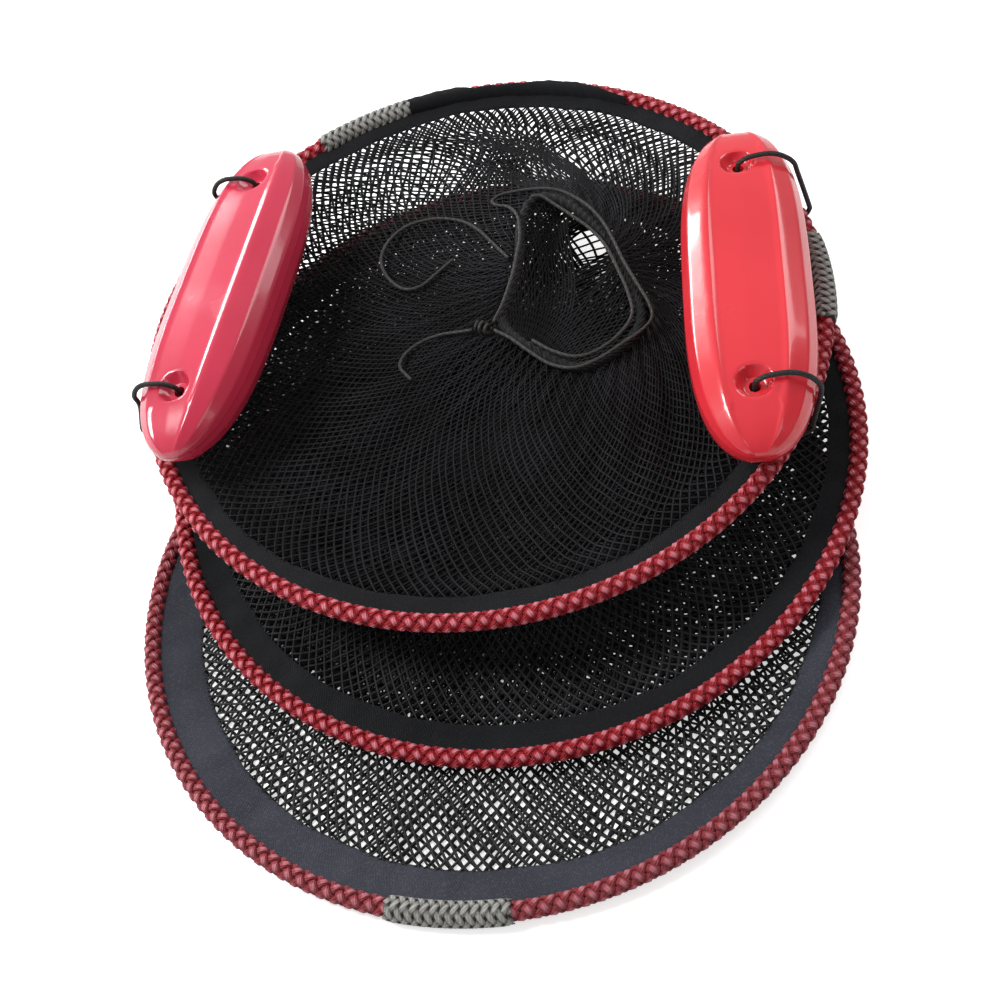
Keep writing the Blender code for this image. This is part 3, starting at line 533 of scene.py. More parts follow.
def part_strands(start, depth, sense, parting):
    """How far each strand is pushed round to loosen a net or leave a gap in it.

    A strand's distance from the place is taken where it reaches the place's depth. The push grows evenly
    to its most and falls evenly to nothing at its reach, and along a strand it follows a squared cosine.
    """
    bearing, middle, push, reach, half_length, peak = parting
    apart = math.radians(bearing) - sense * middle / NET_START - start
    apart = ((apart + math.pi) % TURN - math.pi) * NET_START / reach
    size = np.clip(np.minimum(np.abs(apart) / peak, (1 - np.abs(apart)) / (1 - peak)), 0, 1)
    along = np.cos(np.clip((depth - middle) / half_length, -1, 1) * math.pi / 2) ** 2
    return -np.sign(apart) * push * size * along / NET_START


def net_lattice(skin, hoop, place, facing, depth, spacing, strand, stations, partings=()):
    """Netting hung from a hem: two sets of strands that cross on a lattice of even diamonds.

    A strand leaves the hem and moves as far round as it goes in, one set each way. place(angle, depth)
    is where a point of the net lies, depth(angle) how deep the net is there, and a strand ends where
    it meets that edge. A strand is drawn thin inside the hoop's band, so the cloth hides it.
    """
    cells = round(TURN * NET_START / (spacing * math.sqrt(2)))
    start = np.arange(cells)[:, None] * TURN / cells
    deepest = float(depth(np.linspace(0, TURN, 361)).max())
    q = np.linspace(0, deepest, stations)[None, :]
    for sense in (1, -1):
        uneven = np.sin(start * 37 + q * 95) + np.sin(start * 101 - q * 160 + sense)
        angle = start + sense * q / NET_START + NET_STRAY * uneven * np.minimum(q / HEM_LAP, 1)
        for parting in partings:
            angle = angle + part_strands(start, q, sense, parting)
        room = depth(angle) - q
        inside = room > 0
        used = np.where(inside.all(axis=1), stations, np.argmax(~inside, axis=1) + 1)
        last = np.clip(used - 1, 1, stations - 1)
        rows = np.arange(cells)
        before, after = room[rows, last - 1], room[rows, last]
        share = np.where(after < 0, np.clip(before / np.maximum(before - after, 1e-9), 0.05, 1), 1.0)
        spread = np.broadcast_to(q, angle.shape).copy()
        angle, end_q = angle.copy(), spread[rows, last - 1] + share * (spread[rows, last] - spread[rows, last - 1])
        end_angle = angle[rows, last - 1] + share * (angle[rows, last] - angle[rows, last - 1])
        spread[rows, last], angle[rows, last] = end_q, end_angle
        beyond = np.arange(stations)[None, :] > last[:, None]
        spread = np.where(beyond, end_q[:, None], spread)
        angle = np.where(beyond, end_angle[:, None], angle)
        points = place(angle, spread)
        near = place(angle + NET_PROBE, spread) - place(angle - NET_PROBE, spread)
        tight = np.linalg.norm(near, axis=-1) / (2 * NET_PROBE * NET_START)
        width = strand * np.clip(TWINE_CROWDED + (1 - TWINE_CROWDED) * tight, *TWINE_LIMITS)
        width = width * (TWINE_HIDDEN + (1 - TWINE_HIDDEN) * out_of_band(hoop, angle, spread))
        skin.add(sections(points, facing, width, width * TWINE_FLATNESS, 4), used=used)


# Materials

def place_node(tree, kind, inputs=None, **settings):
    """A node with its settings; an input is a value, or a socket that it is linked from."""
    made = tree.nodes.new(kind)
    for key, value in settings.items():
        setattr(made, key, value)
    for key, value in (inputs or {}).items():
        if isinstance(value, bpy.types.NodeSocket):
            tree.links.new(value, made.inputs[key])
        else:
            made.inputs[key].default_value = value
    return made


def calculate(tree, operation, first, second=0.0, third=0.0, clamp=False):
    """One sum worked out by a math node, held between 0 and 1 if clamp is set."""
    return place_node(tree, "ShaderNodeMath", {0: first, 1: second, 2: third},
                      operation=operation, use_clamp=clamp).outputs[0]


def mix_colours(tree, share, first, second):
    """The first colour, with a share of the second in its place."""
    return place_node(tree, "ShaderNodeMix", {0: share, 6: first, 7: second},
                      data_type="RGBA", clamp_factor=True).outputs[2]


def ramp(tree, value, low, high):
    """A value stretched so that low gives 0 and high gives 1, with soft ends."""
    return place_node(tree, "ShaderNodeMapRange", {"Value": value, "From Min": low, "From Max": high},
                      interpolation_type="SMOOTHSTEP").outputs[0]


def coordinates(tree, kind):
    """Where a point is: kind is Object, UV or Generated."""
    return place_node(tree, "ShaderNodeTexCoord").outputs[kind]


def noise(tree, vector, scale, detail):
    """Soft noise between 0 and 1."""
    return place_node(tree, "ShaderNodeTexNoise", {"Vector": vector, "Scale": scale, "Detail": detail}).outputs["Fac"]


def new_group(name, inputs, outputs):
    """An empty node group with named sockets: its tree, its inputs node and its output node."""
    tree = bpy.data.node_groups.new(name, "ShaderNodeTree")
    for label, kind, default in inputs:
        made = tree.interface.new_socket(label, in_out="INPUT", socket_type=kind)
        if default is not None:
            made.default_value = default
    for label, kind in outputs:
        tree.interface.new_socket(label, in_out="OUTPUT", socket_type=kind)
    return tree, tree.nodes.new("NodeGroupInput"), tree.nodes.new("NodeGroupOutput")


NUMBER, COLOUR, VECTOR = "NodeSocketFloat", "NodeSocketColor", "NodeSocketVector"


def make_fibre_group():
    """Fine fibres that run slantwise along a strand: a height from the strand's UV map."""
    tree, given, out = new_group(
        "twisted_fibres",
        (("Vector", VECTOR, None), ("Fibres round", NUMBER, 6.0), ("Turns for each metre", NUMBER, 200.0)),
        (("Height", NUMBER),),
    )
    part = place_node(tree, "ShaderNodeSeparateXYZ", {0: given.outputs["Vector"]})
    round_part = calculate(tree, "MULTIPLY", part.outputs[0], given.outputs["Fibres round"])
    phase = calculate(tree, "MULTIPLY_ADD", part.outputs[1], given.outputs["Turns for each metre"], round_part)
    wave = calculate(tree, "SINE", calculate(tree, "MULTIPLY", phase, TURN))
    tree.links.new(calculate(tree, "MULTIPLY_ADD", wave, 0.5, 0.5), out.inputs["Height"])
    return tree


def make_weave_group():
    """Plain woven cloth: two sets of threads cross, each raised in turn, from a UV map."""
    tree, given, out = new_group(
        "plain_weave",
        (("Vector", VECTOR, None), ("Threads across", NUMBER, 60.0), ("Threads for each metre", NUMBER, 2200.0)),
        (("Height", NUMBER),),
    )
    part = place_node(tree, "ShaderNodeSeparateXYZ", {0: given.outputs["Vector"]})
    waves = []
    for axis, count in ((0, "Threads across"), (1, "Threads for each metre")):
        phase = calculate(tree, "MULTIPLY", part.outputs[axis], given.outputs[count])
        waves.append(calculate(tree, "SINE", calculate(tree, "MULTIPLY", phase, math.pi)))
    product = calculate(tree, "MULTIPLY", waves[0], waves[1])
    tree.links.new(calculate(tree, "MULTIPLY_ADD", product, 0.5, 0.5), out.inputs["Height"])
    return tree


def make_patchy_group():
    """Uneven dye or fading: two colours mixed by soft noise over the object."""
    tree, given, out = new_group(
        "patchy_colour",
        (("First", COLOUR, None), ("Second", COLOUR, None), ("Scale", NUMBER, 40.0), ("Amount", NUMBER, 0.5)),
        (("Color", COLOUR), ("Mask", NUMBER)),
    )
    soft = noise(tree, coordinates(tree, "Object"), given.outputs["Scale"], 4.0)
    mask = calculate(tree, "MULTIPLY", ramp(tree, soft, 0.35, 0.65), given.outputs["Amount"])
    tree.links.new(mask, out.inputs["Mask"])
    mixed = mix_colours(tree, mask, given.outputs["First"], given.outputs["Second"])
    tree.links.new(mixed, out.inputs["Color"])
    return tree


def make_dust_group():
    """Pale dust in fine specks: a colour laid over another, and the roughness that it brings."""
    tree, given, out = new_group(
        "fine_dust",
        (("Color", COLOUR, None), ("Dust", COLOUR, None), ("Amount", NUMBER, 0.2), ("Scale", NUMBER, 300.0),
         ("Roughness", NUMBER, 0.5)),
        (("Color", COLOUR), ("Roughness", NUMBER)),
    )
    specks = noise(tree, coordinates(tree, "Object"), given.outputs["Scale"], 5.0)
    share = calculate(tree, "MULTIPLY", ramp(tree, specks, 0.45, 0.75), given.outputs["Amount"])
    tree.links.new(mix_colours(tree, share, given.outputs["Color"], given.outputs["Dust"]), out.inputs["Color"])
    rough = calculate(tree, "MULTIPLY_ADD", share, 0.3, given.outputs["Roughness"], clamp=True)
    tree.links.new(rough, out.inputs["Roughness"])
    return tree


GROUP_MAKERS = {
    "twisted_fibres": make_fibre_group,
    "plain_weave": make_weave_group,
    "patchy_colour": make_patchy_group,
    "fine_dust": make_dust_group,
}


def group(tree, name, inputs):
    """One of the shared groups placed in a material; it is built the first time that it is used."""
    shared = bpy.data.node_groups.get(name) or GROUP_MAKERS[name]()
    return place_node(tree, "ShaderNodeGroup", inputs, node_tree=shared)


def shade(colour, share):
    """A colour darkened or lightened by a share."""
    return tuple(channel * share for channel in colour)


def rgba(colour, share=1.0):
    """A colour, darkened or lightened by a share, with its alpha."""
    return (*shade(colour, share), 1.0)


def patches(tree, first, second, scale, amount):
    """One colour that fades into another in patches."""
    given = {"First": first, "Second": second, "Scale": scale, "Amount": amount}
    return group(tree, "patchy_colour", given).outputs["Color"]


def new_material(name, plain):
    """A material, its tree and its Principled BSDF, with values that are the same all over set on it."""
    material = bpy.data.materials.new(name)
    material.use_nodes = True
    tree = material.node_tree
    shader = tree.nodes["Principled BSDF"]
    for key, value in plain.items():
        shader.inputs[key].default_value = value
    return material, tree, shader


def feed(tree, shader, colour, rough, height, strength, distance):
    """Feed a surface's colour, roughness and bump to its shader."""
    bump = place_node(tree, "ShaderNodeBump", {"Height": height, "Strength": strength, "Distance": distance})
    for key, value in (("Base Color", colour), ("Roughness", rough), ("Normal", bump.outputs["Normal"])):
        tree.links.new(value, shader.inputs[key])


def feed_dusted(tree, shader, colour, dust, amount, scale, roughness, height, strength, distance):
    """Feed a surface to its shader as feed does, with fine dust laid over it."""
    dusty = group(tree, "fine_dust", {"Color": colour, "Dust": rgba(dust), "Amount": amount, "Scale": scale,
                                      "Roughness": roughness})
    feed(tree, shader, dusty.outputs["Color"], dusty.outputs["Roughness"], height, strength, distance)


def fibre_material(name, low, high, crown, fibres, turns, bump, roughness, dust, patch=0.35, sheen=0.3,
                   top=(-1.0, 1.0), dusting=0.2, specular=0.5):
    """Twisted or braided yarn: a painted highlight of high colour on the crowns and on the side that top picks out;
    low colour in the gaps and on the far side, partly the yarn's own colour and partly painted shade; painted shade in
    the fibres' grooves; fibres and fine dust.
    """
    material, tree, shader = new_material(
        name, {"Sheen Weight": sheen, "Sheen Roughness": 0.5, "Specular IOR Level": specular})
    uv = coordinates(tree, "UV")
    mark = place_node(tree, "ShaderNodeAttribute", attribute_name="mark").outputs["Fac"]
    lines = group(tree, "twisted_fibres",
                  {"Vector": uv, "Fibres round": fibres, "Turns for each metre": turns}).outputs["Height"]
    side = place_node(tree, "ShaderNodeSeparateXYZ", {0: uv}).outputs[0]
    facing = calculate(tree, "SINE", calculate(tree, "MULTIPLY", side, TURN))
    # Painted highlight: the crowns, and the side that top picks out, take the high colour
    painted_highlight = calculate(tree, "MULTIPLY", ramp(tree, mark, *crown), ramp(tree, facing, *top))
    colour = mix_colours(tree, painted_highlight, rgba(low), patches(tree, rgba(high), rgba(high, 0.55), 55.0, patch))
    # Painted shade: the grooves between fibres are darkened towards the low colour
    groove_shade = calculate(tree, "MULTIPLY_ADD", lines, -0.35, 0.35)
    feed_dusted(tree, shader, mix_colours(tree, groove_shade, colour, rgba(low)), dust, dusting, 700.0, roughness,
                lines, 0.7, bump)
    return material


def grained_material(name, plain, colours, patch, grain, rough, bump, stretch=(1.0, 1.0, 1.0), rubs=None):
    """A surface of patchy colour with a fine grain that lifts it, and roughness from the grain or from rubs.

    patch is the patches' scale and amount, grain and rubs are a noise's scale and detail, and rough is
    how much of the noise is added to which roughness.
    """
    material, tree, shader = new_material(name, plain)
    place = place_node(tree, "ShaderNodeMapping", {"Vector": coordinates(tree, "Object"), "Scale": stretch})
    lines = noise(tree, place.outputs[0], *grain)
    worn = ramp(tree, noise(tree, place.outputs[0], *rubs), 0.5, 0.75) if rubs else lines
    rough = calculate(tree, "MULTIPLY_ADD", worn, *rough, clamp=True)
    feed(tree, shader, patches(tree, *(rgba(c) for c in colours), *patch), rough, lines, *bump)
    return material


def plain_yarn(name, colours, roughness, scale, bump, specular=0.5):
    """Netting twine or core yarn."""
    return grained_material(name, {"Specular IOR Level": specular}, colours, (scale, 0.8), (1800.0, 3.0),
                            (0.3, roughness - 0.15), (0.5, bump))


def cloth_material(name, colour, uneven, dust):
    """Woven binding cloth: plain weave with painted shade between its threads, uneven dye and fine dust."""
    material, tree, shader = new_material(
        name, {"Sheen Weight": 0.03, "Sheen Roughness": 0.6, "Specular IOR Level": 0.15})
    weave = group(tree, "plain_weave", {"Vector": coordinates(tree, "UV"), "Threads across": 64.0,
                                        "Threads for each metre": 1500.0}).outputs["Height"]
    # Painted shade: where the weave is low the colour darkens towards 0.3 of itself
    between = calculate(tree, "MULTIPLY_ADD", weave, -0.4, 0.4)
    dyed = patches(tree, rgba(colour), rgba(colour, uneven), 22.0, 0.8)
    shaded = mix_colours(tree, between, dyed, rgba(colour, 0.3))
    feed_dusted(tree, shader, shaded, dust, 0.25, 900.0, 0.75, weave, 0.8, 0.0003)
    return material


def plastic_material(name, colours, roughness):
    """Glossy moulded plastic: slightly uneven colour, a faint orange-peel skin and rubbed patches."""
    return grained_material(name, {"Coat Weight": 0.5, "Coat Roughness": 0.06}, colours, (16.0, 0.45), (220.0, 2.0),
                            (0.12, roughness), (0.12, 0.0003), rubs=(30.0, 6.0))


def metal_material(name, colour, roughness, stretch):
    """Drawn or crimped metal: lines along its length, dulled in patches."""
    return grained_material(name, {"Metallic": 1.0}, (colour, shade(colour, 0.6)), (60.0, 0.7), (90.0, 5.0),
                            (0.3, roughness), (0.3, 0.0002), stretch=stretch)


# Settings that a user would change

def length_setting(name, description, default, low, high):
    """A length in metres between two limits."""
    return FloatProperty(name=name, description=description, default=default, min=low, max=high, unit="LENGTH")


def share_setting(name, description, default):
    """A share from 0 to 1."""
    return FloatProperty(name=name, description=description, default=default, min=0.0, max=1.0, subtype="FACTOR")


def colour_setting(name, description, *default):
    """A colour, given as its red, green and blue."""
    return FloatVectorProperty(name=name, description=description, subtype="COLOR", default=default,
                               min=0.0, max=1.0)


class HoopSettings(bpy.types.PropertyGroup):
    """The braided rope, its pale joint covers and the cloth band."""

    rope_radius: length_setting(
        "Braid radius", "Distance from the hoop's centre line to the strands' middle", 0.003, 0.002, 0.004)
    rope_rise: length_setting("Braid rise", "How far a strand rises and falls at a crossing", 0.00085, 0.0, 0.001)
    rope_lead: length_setting("Braid lead", "Length of rope in which a strand goes once round", 0.021, 0.012, 0.04)
    rope_strands: IntProperty(
        name="Strand pairs", description="Strands that wind each way in the rope", default=3, min=2, max=6)
    rope_gap: colour_setting("Rope gaps", "Colour between the strands", 0.34, 0.003, 0.011)
    # The crown colour is a painted highlight on the strands' crests
    rope_crown_highlight: colour_setting("Rope crowns", "Colour on top of the strands", 0.80, 0.27, 0.33)
    base_fade: share_setting("Bottom rope fading", "How far the bottom hoop's rope has faded towards grey", 0.3)
    splice_colour: colour_setting("Joint cover", "Colour of the pale braid over a joint", 0.38, 0.38, 0.355)
    hem_colour: colour_setting("Band", "Colour of the cloth band", 0.005, 0.0055, 0.007)
    base_hem_colour: colour_setting("Bottom band", "Colour of the bottom hoop's cloth band", 0.050, 0.053, 0.072)


class NetSettings(bpy.types.PropertyGroup):
    """The netting of the bottom, the sides and the top."""

    spacing: length_setting("Mesh spacing", "Distance between neighbouring strands", 0.0042, 0.003, 0.010)
    strand: length_setting("Strand radius", "Radius of one strand of the net", 0.00075, 0.0004, 0.0012)
    top_colour: colour_setting("Top net", "Colour of the top netting", 0.0045, 0.0045, 0.0055)
    upper_colour: colour_setting(
        "Upper side net", "Colour of the netting between the middle and top hoops", 0.009, 0.009, 0.010)
    lower_colour: colour_setting(
        "Lower nets", "Colour of the lower side net and the bottom net", 0.020, 0.020, 0.021)


class FloatSettings(bpy.types.PropertyGroup):
    """The two moulded floats and their ties."""

    # The left float's pinker colour is painted light: a haze of light over the same red plastic as the right float's
    left_colour: colour_setting("Left float", "Colour of the left float's plastic", 0.63, 0.035, 0.080)
    right_colour: colour_setting("Right float", "Colour of the right float's plastic", 0.77, 0.032, 0.048)
    roughness: share_setting("Roughness", "Roughness of the moulded plastic", 0.20)
    tie_colour: colour_setting("Tie", "Colour of the cord ties", 0.012, 0.012, 0.012)


class CordSettings(bpy.types.PropertyGroup):
    """The loose draw cord and its knot."""

    radius: length_setting("Cord radius", "Radius of the draw cord", 0.0009, 0.0006, 0.002)
    colour: colour_setting("Draw cord", "Colour of the draw cord", 0.045, 0.044, 0.041)


class StageSettings(bpy.types.PropertyGroup):
    """The floor, the lights and the camera."""

    floor_colour: colour_setting("Floor", "Colour of the floor", 0.92, 0.92, 0.92)
    key_power: FloatProperty(
        name="Key light", description="Power of the large soft light", default=14.0, min=0.0, unit="POWER")
    lens: FloatProperty(
        name="Lens", description="Focal length of the camera", default=CAMERA_LENS, min=20.0, max=200.0)


# Operators

class BASKET_OT_stage(bpy.types.Operator):
    """Make the camera, the pale floor and the soft studio lights"""

    bl_idname = "basket.stage"
    bl_label = "Stage"

    def execute(self, context):
        settings = context.scene.basket_stage
        self.add_camera(context, settings)
        self.add_floor(settings)
        self.add_lights(context, settings)
        return {"FINISHED"}

    def add_camera(self, context, settings):
        """Away, right and up are worked out from the turn and the rise, and right and up are then rolled."""
        turn, rise, roll = (math.radians(a) for a in (CAMERA_TURN, CAMERA_RISE, CAMERA_ROLL))
        away = Vector((math.sin(turn) * math.cos(rise), -math.cos(turn) * math.cos(rise), math.sin(rise)))
        right = Vector((math.cos(turn), math.sin(turn), 0.0))
        up = right.cross(-away)
        across = right * math.cos(roll) + up * math.sin(roll)
        upward = up * math.cos(roll) - right * math.sin(roll)
        data = bpy.data.cameras.new("camera")
        data.lens, data.sensor_width, data.sensor_fit = settings.lens, 36.0, "HORIZONTAL"
        data.clip_start, data.clip_end = 0.01, 20.0
        camera = bpy.data.objects.new("camera", data)
        matrix = Matrix((across, upward, away)).transposed().to_4x4()
        matrix.translation = Vector(CAMERA_AIM) + away * CAMERA_DISTANCE
        camera.matrix_world = matrix
        context.scene.collection.objects.link(camera)
        context.scene.camera = camera

    def add_floor(self, settings):
        """A sheet with a painted shadow: the camera sees it darker inside the patch, and brightened by a glow outside
        it.
        """
        reach = FLOOR_REACH
        mesh = bpy.data.meshes.new("floor")
        mesh.from_pydata([(-reach, -reach, 0), (reach, -reach, 0), (reach, reach, 0), (-reach, reach, 0)],
                         [], [(0, 1, 2, 3)])
        floor = bpy.data.objects.new("floor", mesh)
        bpy.context.scene.collection.objects.link(floor)
        material, tree, shader = new_material(
            "floor_paper", {"Roughness": 0.9, "Emission Color": (1.0, 1.0, 1.0, 1.0), "Specular IOR Level": 0.2})
        seen = place_node(tree, "ShaderNodeLightPath").outputs["Is Camera Ray"]
        place = place_node(tree, "ShaderNodeMapping", {"Vector": coordinates(tree, "Object"), **FLOOR_SHADOW_PATCH})
        away = place_node(tree, "ShaderNodeVectorMath", {0: place.outputs[0]}, operation="LENGTH").outputs["Value"]
        outside = ramp(tree, away, 0.95, 1.06)
        lift = calculate(tree, "MULTIPLY_ADD", outside, 0.54, 0.04)
        # Painted shadow: inside the patch the camera sees the floor at 0.3 of its colour
        inside = calculate(tree, "MULTIPLY", seen, calculate(tree, "SUBTRACT", 1.0, outside))
        painted_floor_shadow = mix_colours(tree, inside, rgba(settings.floor_colour), rgba(settings.floor_colour, 0.3))
        tree.links.new(painted_floor_shadow, shader.inputs["Base Color"])
        tree.links.new(calculate(tree, "MULTIPLY", seen, lift), shader.inputs["Emission Strength"])
        mesh.materials.append(material)

    def add_lights(self, context, settings):
        """Soft lamps aimed at the basket, in a room that is lighter from the left and the rear."""
        world = bpy.data.worlds.new("soft_room")
        world.use_nodes = True
        sky, tree = world.node_tree.nodes["Background"], world.node_tree
        sky.inputs[0].default_value = (1.0, 1.0, 1.0, 1.0)
        seen = place_node(tree, "ShaderNodeLightPath").outputs["Is Camera Ray"]
        right = place_node(tree, "ShaderNodeVectorMath", {0: coordinates(tree, "Generated"), 1: ROOM_SHADE},
                           operation="DOT_PRODUCT").outputs["Value"]
        glow = calculate(tree, "MULTIPLY_ADD", ramp(tree, right, -0.6, 0.8), -0.4, 0.54)
        strength = place_node(tree, "ShaderNodeMix", {0: seen, 2: glow, 3: 1.05}, data_type="FLOAT").outputs[0]
        tree.links.new(strength, sky.inputs[1])
        context.scene.world = world
        context.scene.view_settings.view_transform = "Standard"
        for name, (spot, (width, height), share) in LAMPS.items():
            data = bpy.data.lights.new(name, "AREA")
            data.shape = "RECTANGLE"
            data.energy, data.size, data.size_y = settings.key_power * share, width, height
            lamp = bpy.data.objects.new(name, data)
            lamp.location = spot
            aim = Vector(LAMP_AIM) - Vector(spot)
            lamp.rotation_euler = aim.to_track_quat("-Z", "Y").to_euler()
            context.scene.collection.objects.link(lamp)


class BASKET_OT_draw_cord(bpy.types.Operator):
    """Lay the loose draw cord: its loop, a second strand, two tails and the knot"""

    bl_idname = "basket.draw_cord"
    bl_label = "Draw cord"

    def execute(self, context):
        settings = context.scene.basket_cord
        radius = settings.radius
        # Painted light: the cord is full colour on its upper side and a quarter of it, a painted shade, on its
        # underside; in the knot the shaded side faces in
        finish = fibre_material("draw_cord_yarn", shade(settings.colour, 0.25), settings.colour, (-1.0, -0.5), 5.0,
                                260.0, 0.0002, 0.5, (0.4, 0.4, 0.38), sheen=0.05, dusting=0.05, specular=0.25)
        knot = self.add_knot(finish, radius)
        for name, route in CORD_ROUTES.items():
            path = lay("top", smooth_path(np.array(route) * CORD_UNIT, CORD_STEP))
            cord = dress(tube(path, hoop_up("top"), radius, 12), name + "_lay", [finish], "top_hoop", name)
        return {"FINISHED"}

    def add_knot(self, finish, radius):
        """Turns of cord round an egg: the coil's radius follows the egg, and it advances as it turns."""
        t = np.linspace(0, 1, 120)
        swell = np.sqrt(1 - (t * 2 - 1) ** 2 * 0.72)
        phase = TURN * KNOT_TURNS * t + 0.6 * np.sin(TURN * t)
        length, width, height = KNOT_SIZE
        coil = np.stack([(t * 2 - 1) * (length - radius), (width - radius * 0.7) * swell * np.cos(phase),
                         (height - radius * 0.4) * swell * np.sin(phase)], axis=1)
        turn = np.array(Matrix.Rotation(math.radians(KNOT_BEARING), 3, "Z"))
        middle = np.array(KNOT_PLACE)
        path = lay("top", coil @ turn.T + middle)
        skin = tube(path, unit(path - lay("top", middle)), radius, 10)
        return dress(skin, "draw_cord_knot_turns", [finish], "top_hoop", "draw_cord_knot")


class BASKET_OT_hoop_ropes(bpy.types.Operator):
    """Braid the red rope over each hoop, with its pale joint covers"""

    bl_idname = "basket.hoop_ropes"
    bl_label = "Hoop ropes and joint covers"

    def execute(self, context):
        settings = context.scene.basket_hoop
        # Painted shade: the rope's core and the joint cover's lining are dark so that the gaps between strands look
        # shaded, and the cover's strands are dark brown in their dips and on their inner side
        core = plain_yarn("rope_core", ((0.07, 0.003, 0.008), (0.03, 0.002, 0.004)), 0.8, 90.0, 0.0002)
        cover = fibre_material("cover_strand", (0.05, 0.046, 0.04), settings.splice_colour, (0.1, 0.9), 5.0,
                               300.0, 0.0002, 0.7, (0.7, 0.68, 0.62), patch=0.3, sheen=0.1)
        lining = plain_yarn("cover_lining", ((0.045, 0.04, 0.035), (0.02, 0.018, 0.016)), 0.8, 120.0, 0.0002)
        for hoop, spec in HOOPS.items():
            fade = settings.base_fade if hoop == "base" else 0.0
            gap, crown = (tuple(np.array(c) * (1 - fade) + np.array(FADED_ROPE) * fade)
                          for c in (settings.rope_gap, settings.rope_crown_highlight))
            # Painted highlight: the rope's strands take the crown colour on the crests of their outer side
            strand = fibre_material(f"{hoop}_rope_strand", gap, crown, (0.74, 1.0), 9.0, 330.0, 0.0004, 0.55,
                                    (0.6, 0.25, 0.3), patch=0.3, sheen=0.05, top=(0.62, 1.0), dusting=0.05,
                                    specular=0.3)
            joints = spec["splices"]
            for index, (start, end) in enumerate(zip(joints, (*joints[1:], joints[0] + 360.0))):
                mark = f"_{index + 1}" if len(joints) > 1 else ""
                self.add_rope(hoop, start, end, mark, settings, [strand, core])
                self.add_cover(hoop, start, mark, [cover, lining])
        return {"FINISHED"}

    def add_rope(self, hoop, start, end, mark, settings, finishes):
        """The red braid from one joint to the next, over its core."""
        skin = Skin()
        span = hoop, start + SPLICE_HALF_TURN - ROPE_HIDDEN, end - SPLICE_HALF_TURN + ROPE_HIDDEN
        braid(skin, *span, settings.rope_radius, settings.rope_rise, settings.rope_strands, settings.rope_lead,
              ROPE_STRAND, ROPE_END)
        hoop_tube(skin, *span, settings.rope_radius, ROPE_END)
        dress(skin, f"{hoop}_hoop_braid{mark}", finishes, f"{hoop}_hoop", f"{hoop}_hoop_rope{mark}")

    def add_cover(self, hoop, middle, mark, finishes):
        """The pale braid over one joint, over its lining."""
        skin = Skin()
        span = hoop, middle - SPLICE_HALF_TURN, middle + SPLICE_HALF_TURN
        braid(skin, *span, COVER_RADIUS, COVER_RISE, COVER_PAIRS, COVER_LEAD, COVER_STRAND, COVER_END)
        hoop_tube(skin, *span, COVER_LINING, COVER_END)
        dress(skin, f"{hoop}_hoop_cover{mark}", finishes, f"{hoop}_hoop", f"{hoop}_hoop_splice{mark}")


class BASKET_OT_hems(bpy.types.Operator):
    """Sew the dark cloth band inside each hoop"""

    bl_idname = "basket.hems"
    bl_label = "Cloth bands"

    def execute(self, context):
        settings = context.scene.basket_hoop
        black = cloth_material("band_cloth", settings.hem_colour, 1.8, (0.03, 0.03, 0.03))
        grey = cloth_material("bottom_band_cloth", settings.base_hem_colour, 0.7, (0.16, 0.16, 0.17))
        for hoop in HOOPS:
            self.add_hem(hoop, grey if hoop == "base" else black)
        self.add_sleeve(black)
        return {"FINISHED"}

    def add_sleeve(self, finish):
        """A cloth strip bent over the rope: arcs round the rope whose outer end moves along the hoop.

        Each section goes out along the arc at the cloth's outer face and back along its inner face.
        """
        stations, corners = SLEEVE_GRID
        angle = np.radians(np.linspace(*SLEEVE_SPAN, stations))[:, None]
        fray = np.degrees(wobble(angle, FRAY_WAVE))
        end = np.interp(np.degrees(angle), *zip(*SLEEVE_EDGE)) + fray
        around = np.radians(SLEEVE_START + (end - SLEEVE_START) * np.linspace(0, 1, corners))
        inner = SLEEVE_RADIUS + wobble(angle + around * 0.02, CREASE_WAVE)
        away = np.hstack([inner + SLEEVE_THICKNESS, inner[:, ::-1]])
        around = np.hstack([around, around[:, ::-1]])
        skin = Skin()
        skin.add(ring("top", angle, HOOP_RADIUS + away * np.cos(around), away * np.sin(around))[None])
        sleeve = dress(skin, "top_hoop_cloth_patch", [finish], "top_hoop")

    def add_hem(self, hoop, finish):
        """A flattened loop of cloth: an ellipse with a thicker sewn bead at its two edges, carried round."""
        angle, turn = (np.linspace(0, TURN, count, endpoint=False) for count in BAND_GRID)
        angle = angle[:, None]
        across = np.sign(np.cos(turn)) * np.abs(np.cos(turn)) ** 0.7
        inner, outer = band_edge(hoop, angle), HEM_OUTER + HEM_TUCK
        radius = (outer + inner) / 2 + (outer - inner) / 2 * across
        share = (outer - radius) / (outer - inner)
        beads = sum(size * np.exp(-((share - spot) / reach) ** 2) for spot, reach, size in HEM_BEADS)
        height = hem_height(radius) + np.sin(turn) * (HEM_PUFF + beads) + band_pucker(hoop, angle, radius)
        skin = Skin()
        skin.add(ring(hoop, angle, radius, height)[None, :, ::-1], closed=True)
        hem = dress(skin, f"{hoop}_hem_band", [finish], f"{hoop}_hoop", f"{hoop}_hem")


